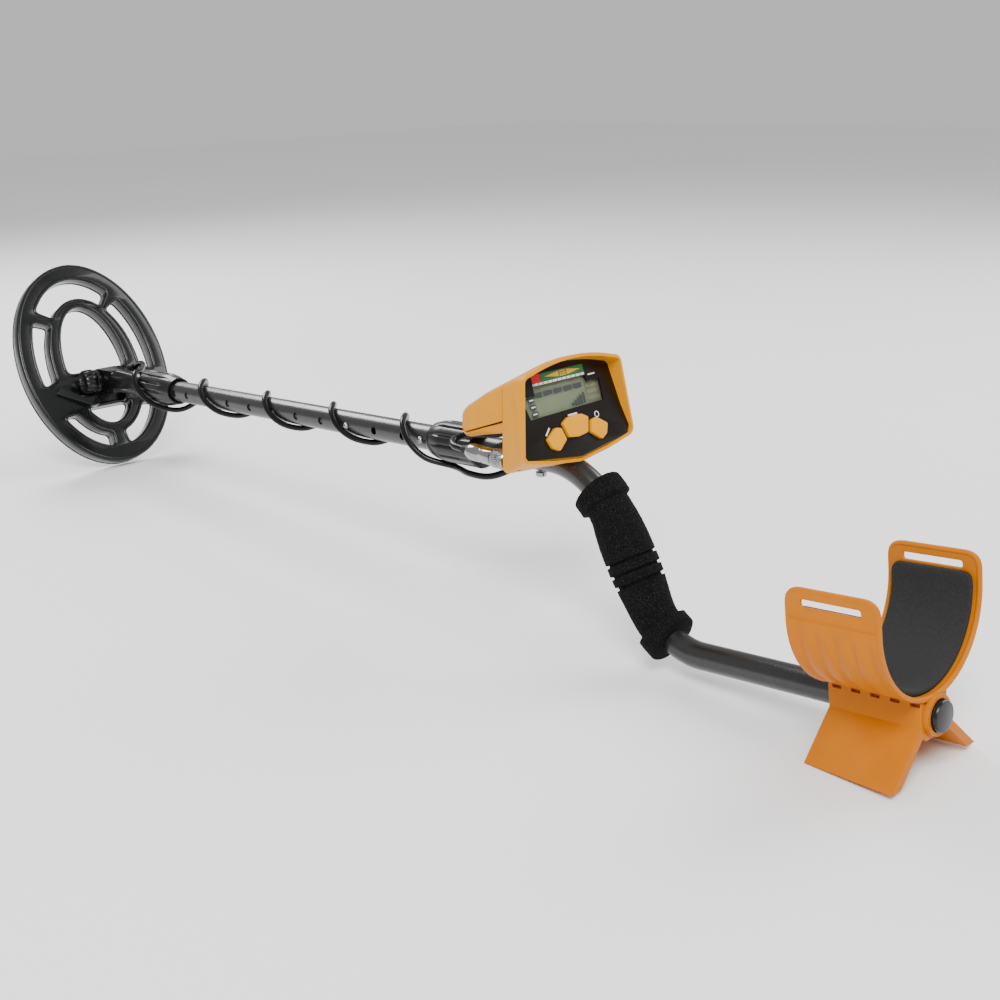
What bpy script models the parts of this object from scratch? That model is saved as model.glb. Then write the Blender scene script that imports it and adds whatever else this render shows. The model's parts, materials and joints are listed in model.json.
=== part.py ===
"""Hobby metal detector: search coil, two-piece stem, control box, grip and arm cuff.

Metres, +Z up, +Y towards the search coil, +X to the user's right.
The origin lies on the ground under the middle of the whole detector.
"""
import math

import bmesh
import bpy
from mathutils import Matrix, Vector

MM = 0.001

# ---------------------------------------------------------------- driving dimensions
ORIGIN_Y = 516.1 * MM            # ground point under the cuff stand -> middle of the detector

STEM_PITCH = math.radians(-3.26)  # the straight stem falls towards the coil
STEM_POINT = Vector((0, 500 * MM, 121.79 * MM))
TUBE_R = 10.3 * MM               # middle tube
TUBE_BORE_R = 9.75 * MM
ROD_R = 9.55 * MM                # bent upper rod, 3/4 inch tube
STEM_R = 9.3 * MM                # sliding lower stem
WALL = 1.3 * MM
HOLE_PITCH = 38.1 * MM           # stem holes, 1.5 inch apart
HOLE_R = 3.3 * MM
BALL_R = 2.9 * MM
LOWER_BALL_S = 28.34 * MM        # along the stem from STEM_POINT
UPPER_BALL_S = -71.5 * MM
TUBE_ENDS = (-128 * MM, 372 * MM)
LOWER_STEM_ENDS = (17 * MM, 452 * MM)
ROD_FRONT_S = -61 * MM

REAR_PITCH = math.radians(-5.54)  # the rod under the forearm rises to the rear
REAR_POINT = Vector((0, 0, 35.34 * MM))
ROD_REAR = -33.5 * MM            # along the rear line
GRIP_LINE_POINT = Vector((0, 214 * MM, 80 * MM))
GRIP_LINE_ANGLE = math.radians(60)
ROD_BEND_UPPER = 72 * MM
ROD_BEND_LOWER = 50 * MM

COIL_TILT = math.radians(63.44)
PIN_S = 480.78 * MM              # tilt pin, along the stem
COIL_CENTRE = (0, 23.98 * MM, -22.5 * MM)   # from the pin, in the coil's own axes
COIL_LONG = 114.3 * MM           # half of 9 inches
COIL_SHORT = 82.6 * MM           # half of 6.5 inches
COIL_THICK = 16 * MM
COVER_THICK = 2.6 * MM

CABLE_R = 2.6 * MM
COLLAR_R = 16.6 * MM

CUFF_R = 55.9 * MM
CUFF_CENTRE_H = 66 * MM
CUFF_TOP_H = 85.6 * MM
PAD_TOP_H = 73.2 * MM            # just under the strap slots
CUFF_WALL = 2.6 * MM
CUFF_Y = (-30 * MM, 34 * MM)
STAND_Y = (-28.7 * MM, 35.2 * MM)
FOOT_X = 45.9 * MM

RIM_LEAN = math.atan2(7.15, 61.3)
SHELL = 2.4 * MM
CONNECTOR_X = -40 * MM
CONNECTOR_Z = 140.6 * MM
NOSE_SLOPE = math.atan2(150.8 - 162.0, 47)    # the nose falls towards the coil
SCREW_AT = (0, 301 * MM, 0)

COLOURS = {
    "orange": ((0.90, 0.34, 0.02), 0.4, 0.0),
    "yellow": ((0.95, 0.62, 0.03), 0.4, 0.0),
    "black": ((0.02, 0.02, 0.022), 0.45, 0.0),
    "coil_grey": ((0.035, 0.04, 0.045), 0.45, 0.0),
    "tube_grey": ((0.07, 0.072, 0.075), 0.4, 0.6),
    "foam": ((0.012, 0.012, 0.012), 0.95, 0.0),
    "pad": ((0.06, 0.06, 0.06), 0.95, 0.0),
    "chrome": ((0.75, 0.75, 0.75), 0.15, 1.0),
    "steel": ((0.5, 0.5, 0.52), 0.35, 1.0),
    "copper": ((0.65, 0.25, 0.1), 0.35, 1.0),
    "board": ((0.02, 0.16, 0.05), 0.5, 0.0),
    "screen": ((0.30, 0.33, 0.24), 0.2, 0.0),
    "cell": ((0.10, 0.10, 0.12), 0.35, 0.3),
    "rubber": ((0.03, 0.03, 0.03), 0.8, 0.0),
}


# ---------------------------------------------------------------- scene and helpers
def clear_scene():
    for obj in list(bpy.data.objects):
        bpy.data.objects.remove(obj, do_unlink=True)


def make_collection(name):
    made = bpy.data.collections.new(name)
    bpy.context.scene.collection.children.link(made)
    return made


def material(name, colour):
    tint, roughness, metallic = COLOURS[colour]
    made = bpy.data.materials.new(name + "_" + colour)
    made.use_nodes = True
    shader = made.node_tree.nodes["Principled BSDF"]
    shader.inputs["Base Color"].default_value = (*tint, 1)
    shader.inputs["Roughness"].default_value = roughness
    shader.inputs["Metallic"].default_value = metallic
    return made


def millimetres(points):
    return [tuple(value * MM for value in point) for point in points]


def empty(name, location, pitch=0.0, parent=None):
    made = bpy.data.objects.new(name, None)
    made.location = location
    made.rotation_euler = (pitch, 0, 0)
    made.parent = parent
    parts.objects.link(made)
    bpy.context.view_layer.update()
    return made


def place(name, mesh, parent, colour, location=(0, 0, 0), rotation=(0, 0, 0)):
    """Link a mesh as a named part, or as a cutter when colour is None."""
    made = bpy.data.objects.new(name, mesh)
    made.location = location
    made.rotation_euler = rotation
    made.parent = parent
    if colour is None:
        cutters.objects.link(made)
        made.hide_render = True
        made.display_type = "WIRE"
    else:
        parts.objects.link(made)
        mesh.materials.append(material(name, colour))
    bpy.context.view_layer.update()
    return made


AXIS_TURN = {"Z": (0, 0, 0), "Y": (-math.pi / 2, 0, 0), "X": (0, math.pi / 2, 0)}


def turned(name, profile, parent, colour, location=(0, 0, 0), axis="Y", steps=24, closed=False):
    """A profile of (radius, height), outer side top to bottom, turned about an axis."""
    mesh = bpy.data.meshes.new(name)
    mesh_points = [(radius, 0, height) for radius, height in profile]
    edges = [(i, i + 1) for i in range(len(profile) - 1)]
    if closed:
        edges.append((len(profile) - 1, 0))
    mesh.from_pydata(mesh_points, edges, [])
    made = place(name, mesh, parent, colour, location, AXIS_TURN[axis])
    screw = made.modifiers.new("turn", "SCREW")
    screw.steps = steps
    screw.render_steps = steps
    screw.use_merge_vertices = True
    screw.merge_threshold = 0.00001
    screw.use_smooth_shade = False
    return made


def rod(name, radius, low, high, parent, colour, location=(0, 0, 0), axis="Y", steps=24):
    profile = [(0, high), (radius, high), (radius, low), (0, low)]
    return turned(name, profile, parent, colour, location, axis, steps)


def pipe(name, outer, inner, low, high, parent, colour, location=(0, 0, 0), axis="Y", steps=24):
    profile = [(outer, high), (outer, low), (inner, low), (inner, high)]
    return turned(name, profile, parent, colour, location, axis, steps, closed=True)


def box(name, low, high, parent, colour, bevel=0.0, rotation=(0, 0, 0), location=(0, 0, 0)):
    mesh = bpy.data.meshes.new(name)
    shape = bmesh.new()
    bmesh.ops.create_cube(shape, size=1)
    low = Vector(low)
    high = Vector(high)
    bmesh.ops.scale(shape, vec=high - low, verts=shape.verts)
    bmesh.ops.translate(shape, vec=(high + low) / 2, verts=shape.verts)
    if bevel:
        bmesh.ops.bevel(shape, geom=shape.edges[:], offset=bevel, affect="EDGES",
                        segments=1, profile=0.5, material=-1)
    shape.to_mesh(mesh)
    shape.free()
    return place(name, mesh, parent, colour, location, rotation)


def evaluated_mesh(obj):
    """The finished mesh of a curve object, welded; the curve is removed."""
    bpy.context.view_layer.update()
    graph = bpy.context.evaluated_depsgraph_get()
    mesh = bpy.data.meshes.new_from_object(obj.evaluated_get(graph))
    bpy.data.objects.remove(obj, do_unlink=True)
    shape = bmesh.new()
    shape.from_mesh(mesh)
    bmesh.ops.remove_doubles(shape, verts=shape.verts, dist=0.00001)
    bmesh.ops.recalc_face_normals(shape, faces=shape.faces)
    shape.to_mesh(mesh)
    shape.free()
    mesh.materials.clear()
    return mesh


def swept(name, points, radius, parent, colour, sides=16, cyclic=False, radii=None):
    """A round bar along a list of points."""
    curve = bpy.data.curves.new(name, "CURVE")
    curve.dimensions = "3D"
    spline = curve.splines.new("POLY")
    spline.points.add(len(points) - 1)
    for index, point in enumerate(points):
        spline.points[index].co = (*point, 1)
        spline.points[index].radius = radii[index] if radii else 1.0
    spline.use_cyclic_u = cyclic
    curve.bevel_depth = radius
    curve.bevel_resolution = sides // 2 - 2
    curve.use_fill_caps = not cyclic
    guide = bpy.data.objects.new(name + "_guide", curve)
    cutters.objects.link(guide)
    return place(name, evaluated_mesh(guide), parent, colour)


def plate(name, outlines, thickness, parent, colour, location=(0, 0, 0), rotation=(0, 0, 0)):
    """A flat plate with holes: outlines are closed lists of (x, y), the first the outside."""
    curve = bpy.data.curves.new(name, "CURVE")
    curve.dimensions = "2D"
    curve.fill_mode = "BOTH"
    curve.extrude = thickness / 2
    for outline in outlines:
        spline = curve.splines.new("POLY")
        spline.points.add(len(outline) - 1)
        for index, (x, y) in enumerate(outline):
            spline.points[index].co = (x, y, 0, 1)
        spline.use_cyclic_u = True
    guide = bpy.data.objects.new(name + "_guide", curve)
    cutters.objects.link(guide)
    return place(name, evaluated_mesh(guide), parent, colour, location, rotation)


def combine(target, other, operation):
    """Join, cut or keep the overlap of target with a cutter object."""
    modifier = target.modifiers.new(other.name, "BOOLEAN")
    modifier.operation = operation
    modifier.solver = "EXACT"
    modifier.object = other


def cut(target, other):
    combine(target, other, "DIFFERENCE")


def join(target, other):
    combine(target, other, "UNION")


def shell(target, thickness):
    modifier = target.modifiers.new("wall", "SOLIDIFY")
    modifier.thickness = thickness
    modifier.offset = -1
    modifier.use_even_offset = True


def arc_points(centre, radius, start, end, count):
    steps = [start + (end - start) * i / (count - 1) for i in range(count)]
    return [(centre[0] + radius * math.cos(t), centre[1] + radius * math.sin(t)) for t in steps]


def on_stem(s, drop=0.0):
    """A point on the stem's axis, s along it from STEM_POINT."""
    along = Vector((0, math.cos(STEM_PITCH), math.sin(STEM_PITCH)))
    across = Vector((0, -math.sin(STEM_PITCH), math.cos(STEM_PITCH)))
    return STEM_POINT + along * s - across * drop


def on_rear(s):
    return REAR_POINT + Vector((0, math.cos(REAR_PITCH), math.sin(REAR_PITCH))) * s


# ---------------------------------------------------------------- bent upper rod and grip
def crossing(point_a, slope_a, point_b, slope_b):
    """Where two lines in the Y-Z plane cross."""
    y = (point_b.z - point_a.z + slope_a * point_a.y - slope_b * point_b.y) / (slope_a - slope_b)
    return Vector((0, y, point_a.z + slope_a * (y - point_a.y)))


def bend(corner, toward_a, toward_b, radius, count):
    """Points of the arc that rounds a corner between two directions."""
    half = toward_a.angle(toward_b) / 2
    centre = corner + (toward_a + toward_b).normalized() * radius / math.sin(half)
    start = corner + toward_a * radius / math.tan(half)
    end = corner + toward_b * radius / math.tan(half)
    from_centre = start - centre
    turn = from_centre.rotation_difference(end - centre)
    angle = turn.angle
    axis = turn.axis
    made = []
    for i in range(count):
        made.append(centre + Matrix.Rotation(angle * i / (count - 1), 3, axis) @ from_centre)
    return made


def rod_route(front_s, rear_s):
    stem_dir = Vector((0, math.cos(STEM_PITCH), math.sin(STEM_PITCH)))
    rear_dir = Vector((0, math.cos(REAR_PITCH), math.sin(REAR_PITCH)))
    grip_dir = Vector((0, math.cos(GRIP_LINE_ANGLE), math.sin(GRIP_LINE_ANGLE)))
    upper = crossing(STEM_POINT, math.tan(STEM_PITCH), GRIP_LINE_POINT, math.tan(GRIP_LINE_ANGLE))
    lower = crossing(REAR_POINT, math.tan(REAR_PITCH), GRIP_LINE_POINT, math.tan(GRIP_LINE_ANGLE))
    route = [on_stem(front_s)]
    route += bend(upper, stem_dir, -grip_dir, ROD_BEND_UPPER, 8)
    route += bend(lower, grip_dir, -rear_dir, ROD_BEND_LOWER, 8)
    route.append(on_rear(rear_s))
    return route


def upper_rod(origin):
    made = swept("s_rod", rod_route(ROD_FRONT_S, ROD_REAR), ROD_R, origin, "tube_grey", sides=16)
    bore_route = rod_route(ROD_FRONT_S + 2 * MM, ROD_REAR - 2 * MM)
    cut(made, swept("s_rod_bore", bore_route, ROD_R - WALL, origin, None, sides=12))
    return made


def resample(route, count):
    """Evenly spaced points along a polyline."""
    lengths = [0.0]
    for a, b in zip(route, route[1:]):
        lengths.append(lengths[-1] + (b - a).length)
    made = []
    for i in range(count):
        want = lengths[-1] * i / (count - 1)
        k = 0
        while k < len(route) - 2 and lengths[k + 1] < want:
            k += 1
        share = (want - lengths[k]) / (lengths[k + 1] - lengths[k])
        made.append(route[k].lerp(route[k + 1], share))
    return made


def grip(origin):
    """Foam sleeve with a flange at each end and a palm swell."""
    route = rod_route(ROD_FRONT_S, ROD_REAR)
    start, end = 0.376, 0.606        # shares of the whole rod that the sleeve covers
    fine = resample(route, 501)
    part = fine[int(500 * start):int(500 * end) + 1]
    route = resample(part, 13)
    outline = [19.2, 19.6, 15.8, 16.6, 18.2, 18.7, 18.7, 18.3, 17.2, 16.0, 15.8, 19.8, 19.4]
    radii = [value / 19.6 for value in outline]
    made = swept("foam_grip", route, 19.6 * MM, origin, "foam", sides=14, radii=radii)
    cut(made, swept("grip_bore", rod_route(ROD_FRONT_S, ROD_REAR), ROD_R + 0.4 * MM, origin, None))
    return made


def rod_end_plug(rear):
    cap = [(0, -36.2), (8.6, -36.2), (10.2, -35.2), (10.2, -33.8), (7.6, -33.8), (7.6, -18), (0, -18)]
    profile = [(r * MM, y * MM) for r, y in reversed(cap)]
    turned("end_plug", profile, rear, "black")


# ---------------------------------------------------------------- arm cuff and stand
def cuff_band(inner, outer, top, top_angle):
    """A U-shaped band in the X-height plane, as a closed outline."""
    low = math.pi + top_angle
    high = 2 * math.pi - top_angle
    centre = (0, CUFF_CENTRE_H)
    points = [(-outer, top)] if top else []
    points += arc_points(centre, outer, low, high, 25)
    if top:
        points += [(outer, top), (inner, top)]
    points += arc_points(centre, inner, high, low, 25)
    if top:
        points.append((-inner, top))
    return points


STAND_UP = (math.pi / 2, 0, 0)    # a plate drawn in X-height, with its thickness along Y


def arm_rest(rear):
    length = CUFF_Y[1] - CUFF_Y[0]
    middle = (CUFF_Y[1] + CUFF_Y[0]) / 2
    band = cuff_band(CUFF_R - CUFF_WALL, CUFF_R, CUFF_TOP_H, 0)
    cuff = plate("arm_cuff", [band], length, rear, "orange", (0, middle, 0), STAND_UP)
    slot_h = 76.3 * MM
    slot = box("strap_slot_cut", (-70 * MM, -17.9 * MM, slot_h - 2.4 * MM),
               (70 * MM, 23.1 * MM, slot_h + 2.4 * MM), rear, None)
    cut(cuff, slot)
    bolt_y = 2.6 * MM
    cut(cuff, rod("cuff_bolt_hole", 2.9 * MM, 5 * MM, 20 * MM, rear, None, (0, bolt_y, 0), "Z", 12))
    outer = CUFF_R - CUFF_WALL - 0.3 * MM
    pad_band = cuff_band(outer - 3.4 * MM, outer, PAD_TOP_H, 0)
    pad = plate("cuff_pad", [pad_band], length - 3 * MM, rear, "pad", (0, middle, 0), STAND_UP)
    cut(pad, rod("pad_recess", 5.6 * MM, 5 * MM, 15.6 * MM, rear, None, (0, bolt_y, 0), "Z", 16))
    bolt = [(0, 15.2), (4.8, 15.2), (4.8, 13.3), (2.5, 13.3), (2.5, -19.5), (0, -19.5)]
    turned("cuff_bolt", [(r * MM, h * MM) for r, h in bolt], rear, "steel", (0, bolt_y, 0), "Z", 12)
    return bolt_y


def stand_outline():
    """Right half of the stand's section, outside then inside, mirrored into a whole."""
    foot_low = -42 * MM
    saddle = 9.9 * MM
    outer = []
    for x in (10.2, 12.2, 14.5):
        drop = math.sqrt(CUFF_R ** 2 - (x * MM) ** 2)
        outer.append((x * MM, CUFF_CENTRE_H - drop - 0.35 * MM))
    outer += [(14.5 * MM, -5 * MM), (FOOT_X + 4.5 * MM, foot_low + 3 * MM), (FOOT_X - 1.5 * MM, foot_low)]
    outer += [(12.2 * MM, -11 * MM), (9 * MM, -14.4 * MM)]
    channel = arc_points((0, 0), saddle, 0, -math.pi, 13)
    left = [(-x, h) for x, h in reversed(outer)]
    return outer + left + [(-saddle, 6 * MM)] + list(reversed(channel)) + [(saddle, 6 * MM)]


def floor_cutter(origin):
    """A block whose top is the plane that the stand's feet are trimmed to."""
    pitch = math.atan2(-3.14, 63.86)
    return box("floor_cut", (-80 * MM, -90 * MM, -40 * MM), (80 * MM, 90 * MM, 0), origin, None,
               rotation=(pitch, 0, 0), location=(0, 31.93 * MM * math.cos(pitch) - 31.93 * MM, 1.57 * MM))


def stand(rear, origin, bolt_y):
    length = STAND_Y[1] - STAND_Y[0]
    middle = (STAND_Y[1] + STAND_Y[0]) / 2
    made = plate("cuff_stand", [stand_outline()], length, rear, "orange", (0, middle, 0), STAND_UP)
    cut(made, floor_cutter(origin))
    cut(made, rod("stand_bolt_hole", 2.9 * MM, -20 * MM, 0, rear, None, (0, bolt_y, 0), "Z", 12))
    for_rod = rod("rod_bolt_hole", 2.9 * MM, -14 * MM, 14 * MM, rear, None, (0, bolt_y, 0), "Z", 12)
    nut = [(3.1, -14.9), (5.5, -14.9), (5.5, -18.6), (3.1, -18.6)]
    turned("cuff_nut", [(r * MM, h * MM) for r, h in nut[1:3] + nut[3:] + nut[:1]], rear, "steel",
           (0, bolt_y, 0), "Z", 6, closed=True)
    return for_rod


# ---------------------------------------------------------------- straight stem
def stem_hole_places():
    """Holes n = 0 to 9 count back from the coil end; one more sits by each end fitting."""
    row = [LOWER_BALL_S + HOLE_PITCH * (7 - n) for n in range(10)]
    return row + [319 * MM, UPPER_BALL_S]


def side_hole(name, s, radius, line, colour=None):
    return rod(name, radius, -14 * MM, -5 * MM, line, colour, (0, s, 0), "X", 10)


def collar(name, low, high, taper_low, line):
    """Twist-lock collar: a ribbed sleeve that narrows at one end, bored for the tube."""
    bore = TUBE_R + 1.5 * MM
    outer = COLLAR_R
    small = 13.4 * MM
    if taper_low:
        outside = [(outer - 0.8 * MM, high), (outer, high - 2 * MM), (outer, low + 16 * MM), (small, low)]
    else:
        outside = [(small, high), (outer, high - 16 * MM), (outer, low + 2 * MM), (outer - 0.8 * MM, low)]
    profile = outside + [(bore, low), (bore, high)]
    made = turned(name, profile, line, "black", closed=True, steps=24)
    for i in range(12):
        turn = 2 * math.pi * i / 12
        centre = (17.4 * MM * math.cos(turn), (low + high) / 2, 17.4 * MM * math.sin(turn))
        groove = box(f"{name}_groove_{i}", (-1.4 * MM, -15 * MM, -1.4 * MM), (1.4 * MM, 15 * MM, 1.4 * MM),
                     line, None, rotation=(0, -turn, 0), location=centre)
        cut(made, groove)
    return made


def collet(name, low, high, bore, line):
    """Split gripping sleeve between a collar and the tubes."""
    pipe(name, TUBE_R + 1.2 * MM, bore, low, high, line, "rubber")


def stem(line):
    middle = pipe("middle_tube", TUBE_R, TUBE_BORE_R, *TUBE_ENDS, line, "tube_grey")
    for index, s in enumerate(stem_hole_places()):
        cut(middle, side_hole(f"tube_hole_{index}", s, HOLE_R, line))
    collar("lower_collar", 326 * MM, 385 * MM, True, line)
    collar("upper_collar", -138 * MM, -82 * MM, False, line)
    collet("lower_collet", 332 * MM, 372 * MM, TUBE_R + 0.25 * MM, line)
    collet("upper_collet", -124 * MM, -88 * MM, TUBE_R + 0.25 * MM, line)
    pipe("lower_gland", TUBE_R + 1.1 * MM, STEM_R + 0.3 * MM, 373 * MM, 384 * MM, line, "rubber")
    pipe("upper_gland", TUBE_R + 1.1 * MM, ROD_R + 0.3 * MM, -137 * MM, -129 * MM, line, "rubber")


def knuckle_shape(line):
    """Moulded coil end of the lower stem, bored for the tilt pin, with flat cheeks."""
    low = 391 * MM
    profile = [(0, 457), (10.8, 457), (12.3, 454), (12.3, 399), (10.8, 391), (0, 391)]
    body = turned("stem_knuckle", [(r * MM, y * MM) for r, y in profile], line, "black")
    cheek = rod("knuckle_eye", 12 * MM, -10.5 * MM, 10.5 * MM, line, None, (0, PIN_S, 0), "X", 20)
    web = box("knuckle_web", (-10.5 * MM, 450 * MM, -11.6 * MM), (10.5 * MM, PIN_S, 11.6 * MM), line, None)
    join(body, web)
    join(body, cheek)
    cut(body, rod("knuckle_pin_hole", 4.3 * MM, -30 * MM, 30 * MM, line, None, (0, PIN_S, 0), "X", 16))
    cut(body, rod("knuckle_socket", STEM_R + 0.3 * MM, low - 5 * MM, 452.4 * MM, line, None))
    return body


def lower_stem(line):
    made = pipe("lower_stem", STEM_R, STEM_R - WALL, *LOWER_STEM_ENDS, line, "tube_grey")
    cut(made, side_hole("stem_ball_hole", LOWER_BALL_S, HOLE_R, line))
    knuckle_shape(line)


def spring_clip(name, button_name, s, direction, line):
    """Bent leaf spring inside a tube, and the round button that it pushes out of the holes."""
    path = []
    for x, along in ((-5.4, -1), (-5.4, 10), (-4.6, 24), (-2, 30), (2, 30), (5, 24), (6.3, 10), (6.3, -1)):
        path.append((x * MM, s + direction * along * MM, 0))
    swept(name, path, 0.7 * MM, line, "steel", sides=8)
    ball = BALL_R / MM
    profile = [(0, 13.1), (1.2, 12.9), (2.3, 12.2), (ball, 10.6), (ball, 6.5), (0, 6.5)]
    made = turned(button_name, [(r * MM, h * MM) for r, h in profile], line, "chrome", (0, s, 0), "X", 12)
    made.rotation_euler = (0, -math.pi / 2, 0)
    return made


# ---------------------------------------------------------------- search coil
def ellipse_arc(half_long, half_short, shift, start, end, count):
    """Points of an ellipse; angles in degrees from the coil's nose towards +X."""
    made = []
    for i in range(count):
        t = math.radians(start + (end - start) * i / (count - 1))
        made.append((half_short * math.sin(t) * MM, (shift + half_long * math.cos(t)) * MM))
    return made


def window(outer_start, outer_end, inner_start, inner_end, count):
    """Opening between the outer and the inner ring of the coil."""
    outer = ellipse_arc(96.5, 65.5, 0, outer_start, outer_end, count)
    inner = ellipse_arc(78, 50, -4, inner_end, inner_start, count)
    return outer + inner


def coil_outlines():
    rim = ellipse_arc(COIL_LONG / MM, COIL_SHORT / MM, 0, 0, 360, 49)[:-1]
    openings = [
        window(-47, 37, -40, 33, 13),
        window(-101, -55.5, -96, -48, 11),
        window(46, 101, 39, 96, 11),
        window(-172, -125, -171, -130, 9),
        window(125, 172, 130, 171, 9),
    ]
    openings.append(ellipse_arc(67, 35, -3, -95, 95, 19))
    openings.append(ellipse_arc(67, 35, -3, 134, 226, 11))
    return [rim] + openings


def fork(pin):
    """Two ears on the coil that hold the knuckle."""
    made = []
    base_h = COIL_CENTRE[2] + COIL_THICK / 2 - 1 * MM
    for name, side in (("left", -1), ("right", 1)):
        low, high = sorted((side * 11.2 * MM, side * 16.4 * MM))
        ear = rod(f"ear_{name}", 11.5 * MM, low, high, pin, None, (0, 0, 0), "X", 20)
        foot = box(f"ear_foot_{name}", (low, -12 * MM, base_h), (high, 12 * MM, 0), pin, None)
        made += [ear, foot]
    return made


def gusset(side, pin):
    """Low wedge that braces an ear across the coil's bridge."""
    low = COIL_CENTRE[2] + COIL_THICK / 2 - 1 * MM
    outline = millimetres([(15.5, -26), (24, -25), (57, -4), (50, 2), (33, -11), (15.5, -13.5)])
    if side < 0:
        outline = [(-x, y) for x, y in reversed(outline)]
    name = "gusset_left" if side < 0 else "gusset_right"
    return plate(name, [outline], 7 * MM, pin, None, (0, 0, low + 3.5 * MM))


def winding_loop(half_long, half_short, shift, count, height):
    centre = Vector(COIL_CENTRE)
    made = []
    for x, y in ellipse_arc(half_long, half_short, shift, 0, 360, count + 1)[:-1]:
        made.append(centre + Vector((x, y, height)))
    return made


def coil(pin):
    top = COIL_THICK / 2
    cover_top = -top + COVER_THICK
    outlines = coil_outlines()
    shell_height = top - cover_top - 0.3 * MM
    shell_z = COIL_CENTRE[2] + top - shell_height / 2
    centre = (COIL_CENTRE[0], COIL_CENTRE[1])
    body = plate("coil_shell", outlines, shell_height, pin, "coil_grey", (*centre, shell_z))
    plate("coil_cover", outlines, COVER_THICK, pin, "coil_grey",
          (*centre, COIL_CENTRE[2] - top + COVER_THICK / 2))
    floor = cover_top + 0.3 * MM
    for name, size in (("transmit", (105.5, 74, 0)), ("receive", (72.5, 42.7, -3.5))):
        groove_low = floor - 1 * MM
        groove_high = floor + 7.4 * MM
        wide = [ellipse_arc(size[0] + 3.6, size[1] + 3.6, size[2], 0, 360, 41)[:-1],
                ellipse_arc(size[0] - 3.6, size[1] - 3.6, size[2], 0, 360, 41)[:-1]]
        groove = plate(f"{name}_groove", wide, groove_high - groove_low, pin, None,
                       (*centre, COIL_CENTRE[2] + (groove_low + groove_high) / 2))
        cut(body, groove)
        loop = winding_loop(*size, 36, floor + 3.7 * MM)
        swept(f"{name}_winding", loop, 3 * MM, pin, "copper", sides=6, cyclic=True)
    for piece in fork(pin) + [gusset(-1, pin), gusset(1, pin)]:
        join(body, piece)
    cut(body, rod("fork_pin_hole", 4.3 * MM, -30 * MM, 30 * MM, pin, None, (0, 0, 0), "X", 16))
    return body


def tilt_hardware(pin):
    """Through bolt with its head on the right and a ribbed hand knob on the left."""
    bolt = [(0, -34.5), (3.1, -34.2), (4.0, -32.8), (4.0, 16.8), (7.6, 16.8), (8.0, 17.6), (8.0, 21), (6.8, 22.4), (0, 22.4)]
    profile = [(r * MM, x * MM) for r, x in reversed(bolt)]
    turned("clevis_bolt", profile, pin, "black", axis="X", steps=16)
    for name, low, high in (("left_washer", -11.0, -10.7), ("right_washer", 10.7, 11.0)):
        pipe(name, 10.5 * MM, 4.4 * MM, low * MM, high * MM, pin, "rubber", axis="X", steps=16)
    knob = [(4.3, -29.8), (9.5, -29.8), (12.4, -28), (13, -20), (12.4, -17.2), (4.3, -17.2)]
    profile = [(r * MM, x * MM) for r, x in reversed(knob)]
    made = turned("hand_knob", profile, pin, "black", axis="X", steps=20, closed=True)
    for i in range(10):
        turn = 2 * math.pi * i / 10
        centre = (-23.5 * MM, 13.4 * MM * math.cos(turn), 13.4 * MM * math.sin(turn))
        flute = box(f"knob_flute_{i}", (-8 * MM, -1.3 * MM, -1.5 * MM), (8 * MM, 1.3 * MM, 1.5 * MM),
                    pin, None, rotation=(turn, 0, 0), location=centre)
        cut(made, flute)


def coil_gland(pin):
    """Strain relief where the cable enters the coil's bridge."""
    bore = CABLE_R / MM + 0.4
    profile = [(4.0, 2.1), (4.8, -10.5), (6.2, -11.0), (6.2, -14.1), (bore, -14.1), (bore, 2.1)]
    return turned("coil_gland", [(r * MM, h * MM) for r, h in profile], pin, "rubber",
                  (34 * MM, 6 * MM, 0), "Z", 12, closed=True)


# ---------------------------------------------------------------- coil cable
def smooth_route(points, per_span):
    """Catmull-Rom curve through hand-placed points."""
    points = [Vector(p) for p in points]
    padded = [2 * points[0] - points[1]] + points + [2 * points[-1] - points[-2]]
    made = []
    for i in range(1, len(padded) - 2):
        p0, p1, p2, p3 = padded[i - 1:i + 3]
        for k in range(per_span):
            t = k / per_span
            made.append(0.5 * (2 * p1 + (p2 - p0) * t + (2 * p0 - 5 * p1 + 4 * p2 - p3) * t * t
                               + (3 * p1 - p0 - 3 * p2 + p3) * t ** 3))
    made.append(points[-1])
    return made


WRAP_TURNS = (          # along the stem at each half turn (top, bottom, top ...), and the radius there
    (403, 15.4), (333, 20.2), (277.5, 14.4), (217.5, 13.6), (163.5, 13.6), (110, 13.6),
    (60, 13.6), (3, 13.6), (-40, 14.4), (-99, 20.4),
)
CABLE_START = ((34, 995.0, 93.7), (34, 988, 97.1), (34, 979.1, 101.6), (33, 971, 105.4),
               (28, 953, 110.5), (17, 928, 113.2))
CABLE_END = (
    (-4, 378, 106.5), (-2, 358, 107.5), (5, 344, 113), (12, 334, 122), (15.5, 328, 132.5),
    (12.5, 328, 141.5), (3, 334, 145.4), (-9, 347, 144.6), (-21, 358, 145), (-32, 361, 142.8),
    (-39, 354, 141.2), (-40, 342.2, 140.6),
)


def cable_points():
    """Along the lower stem, wound round the tubes, then over the rod to the connector."""
    made = millimetres(CABLE_START)
    for half, (s, radius) in enumerate(WRAP_TURNS[:-1]):
        next_s, next_radius = WRAP_TURNS[half + 1]
        lag = 0.1 if half % 2 == 0 else 0.0
        for k in range(4):
            turn = math.pi * (half + k / 4)
            share = k / 4 - lag * math.sin(math.pi * k / 4)
            here = s + (next_s - s) * share
            reach = (radius + (next_radius - radius) * share) * MM
            if 324 < here < 394:
                reach = max(reach, COLLAR_R + CABLE_R + 1.0 * MM)
            centre = on_stem(here * MM)
            made.append(centre + Vector((-math.sin(turn) * reach, 0, math.cos(turn) * reach)))
    last_s, last_radius = WRAP_TURNS[-1]
    made.append(on_stem(last_s * MM, last_radius * MM))
    return made + millimetres(CABLE_END)


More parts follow.
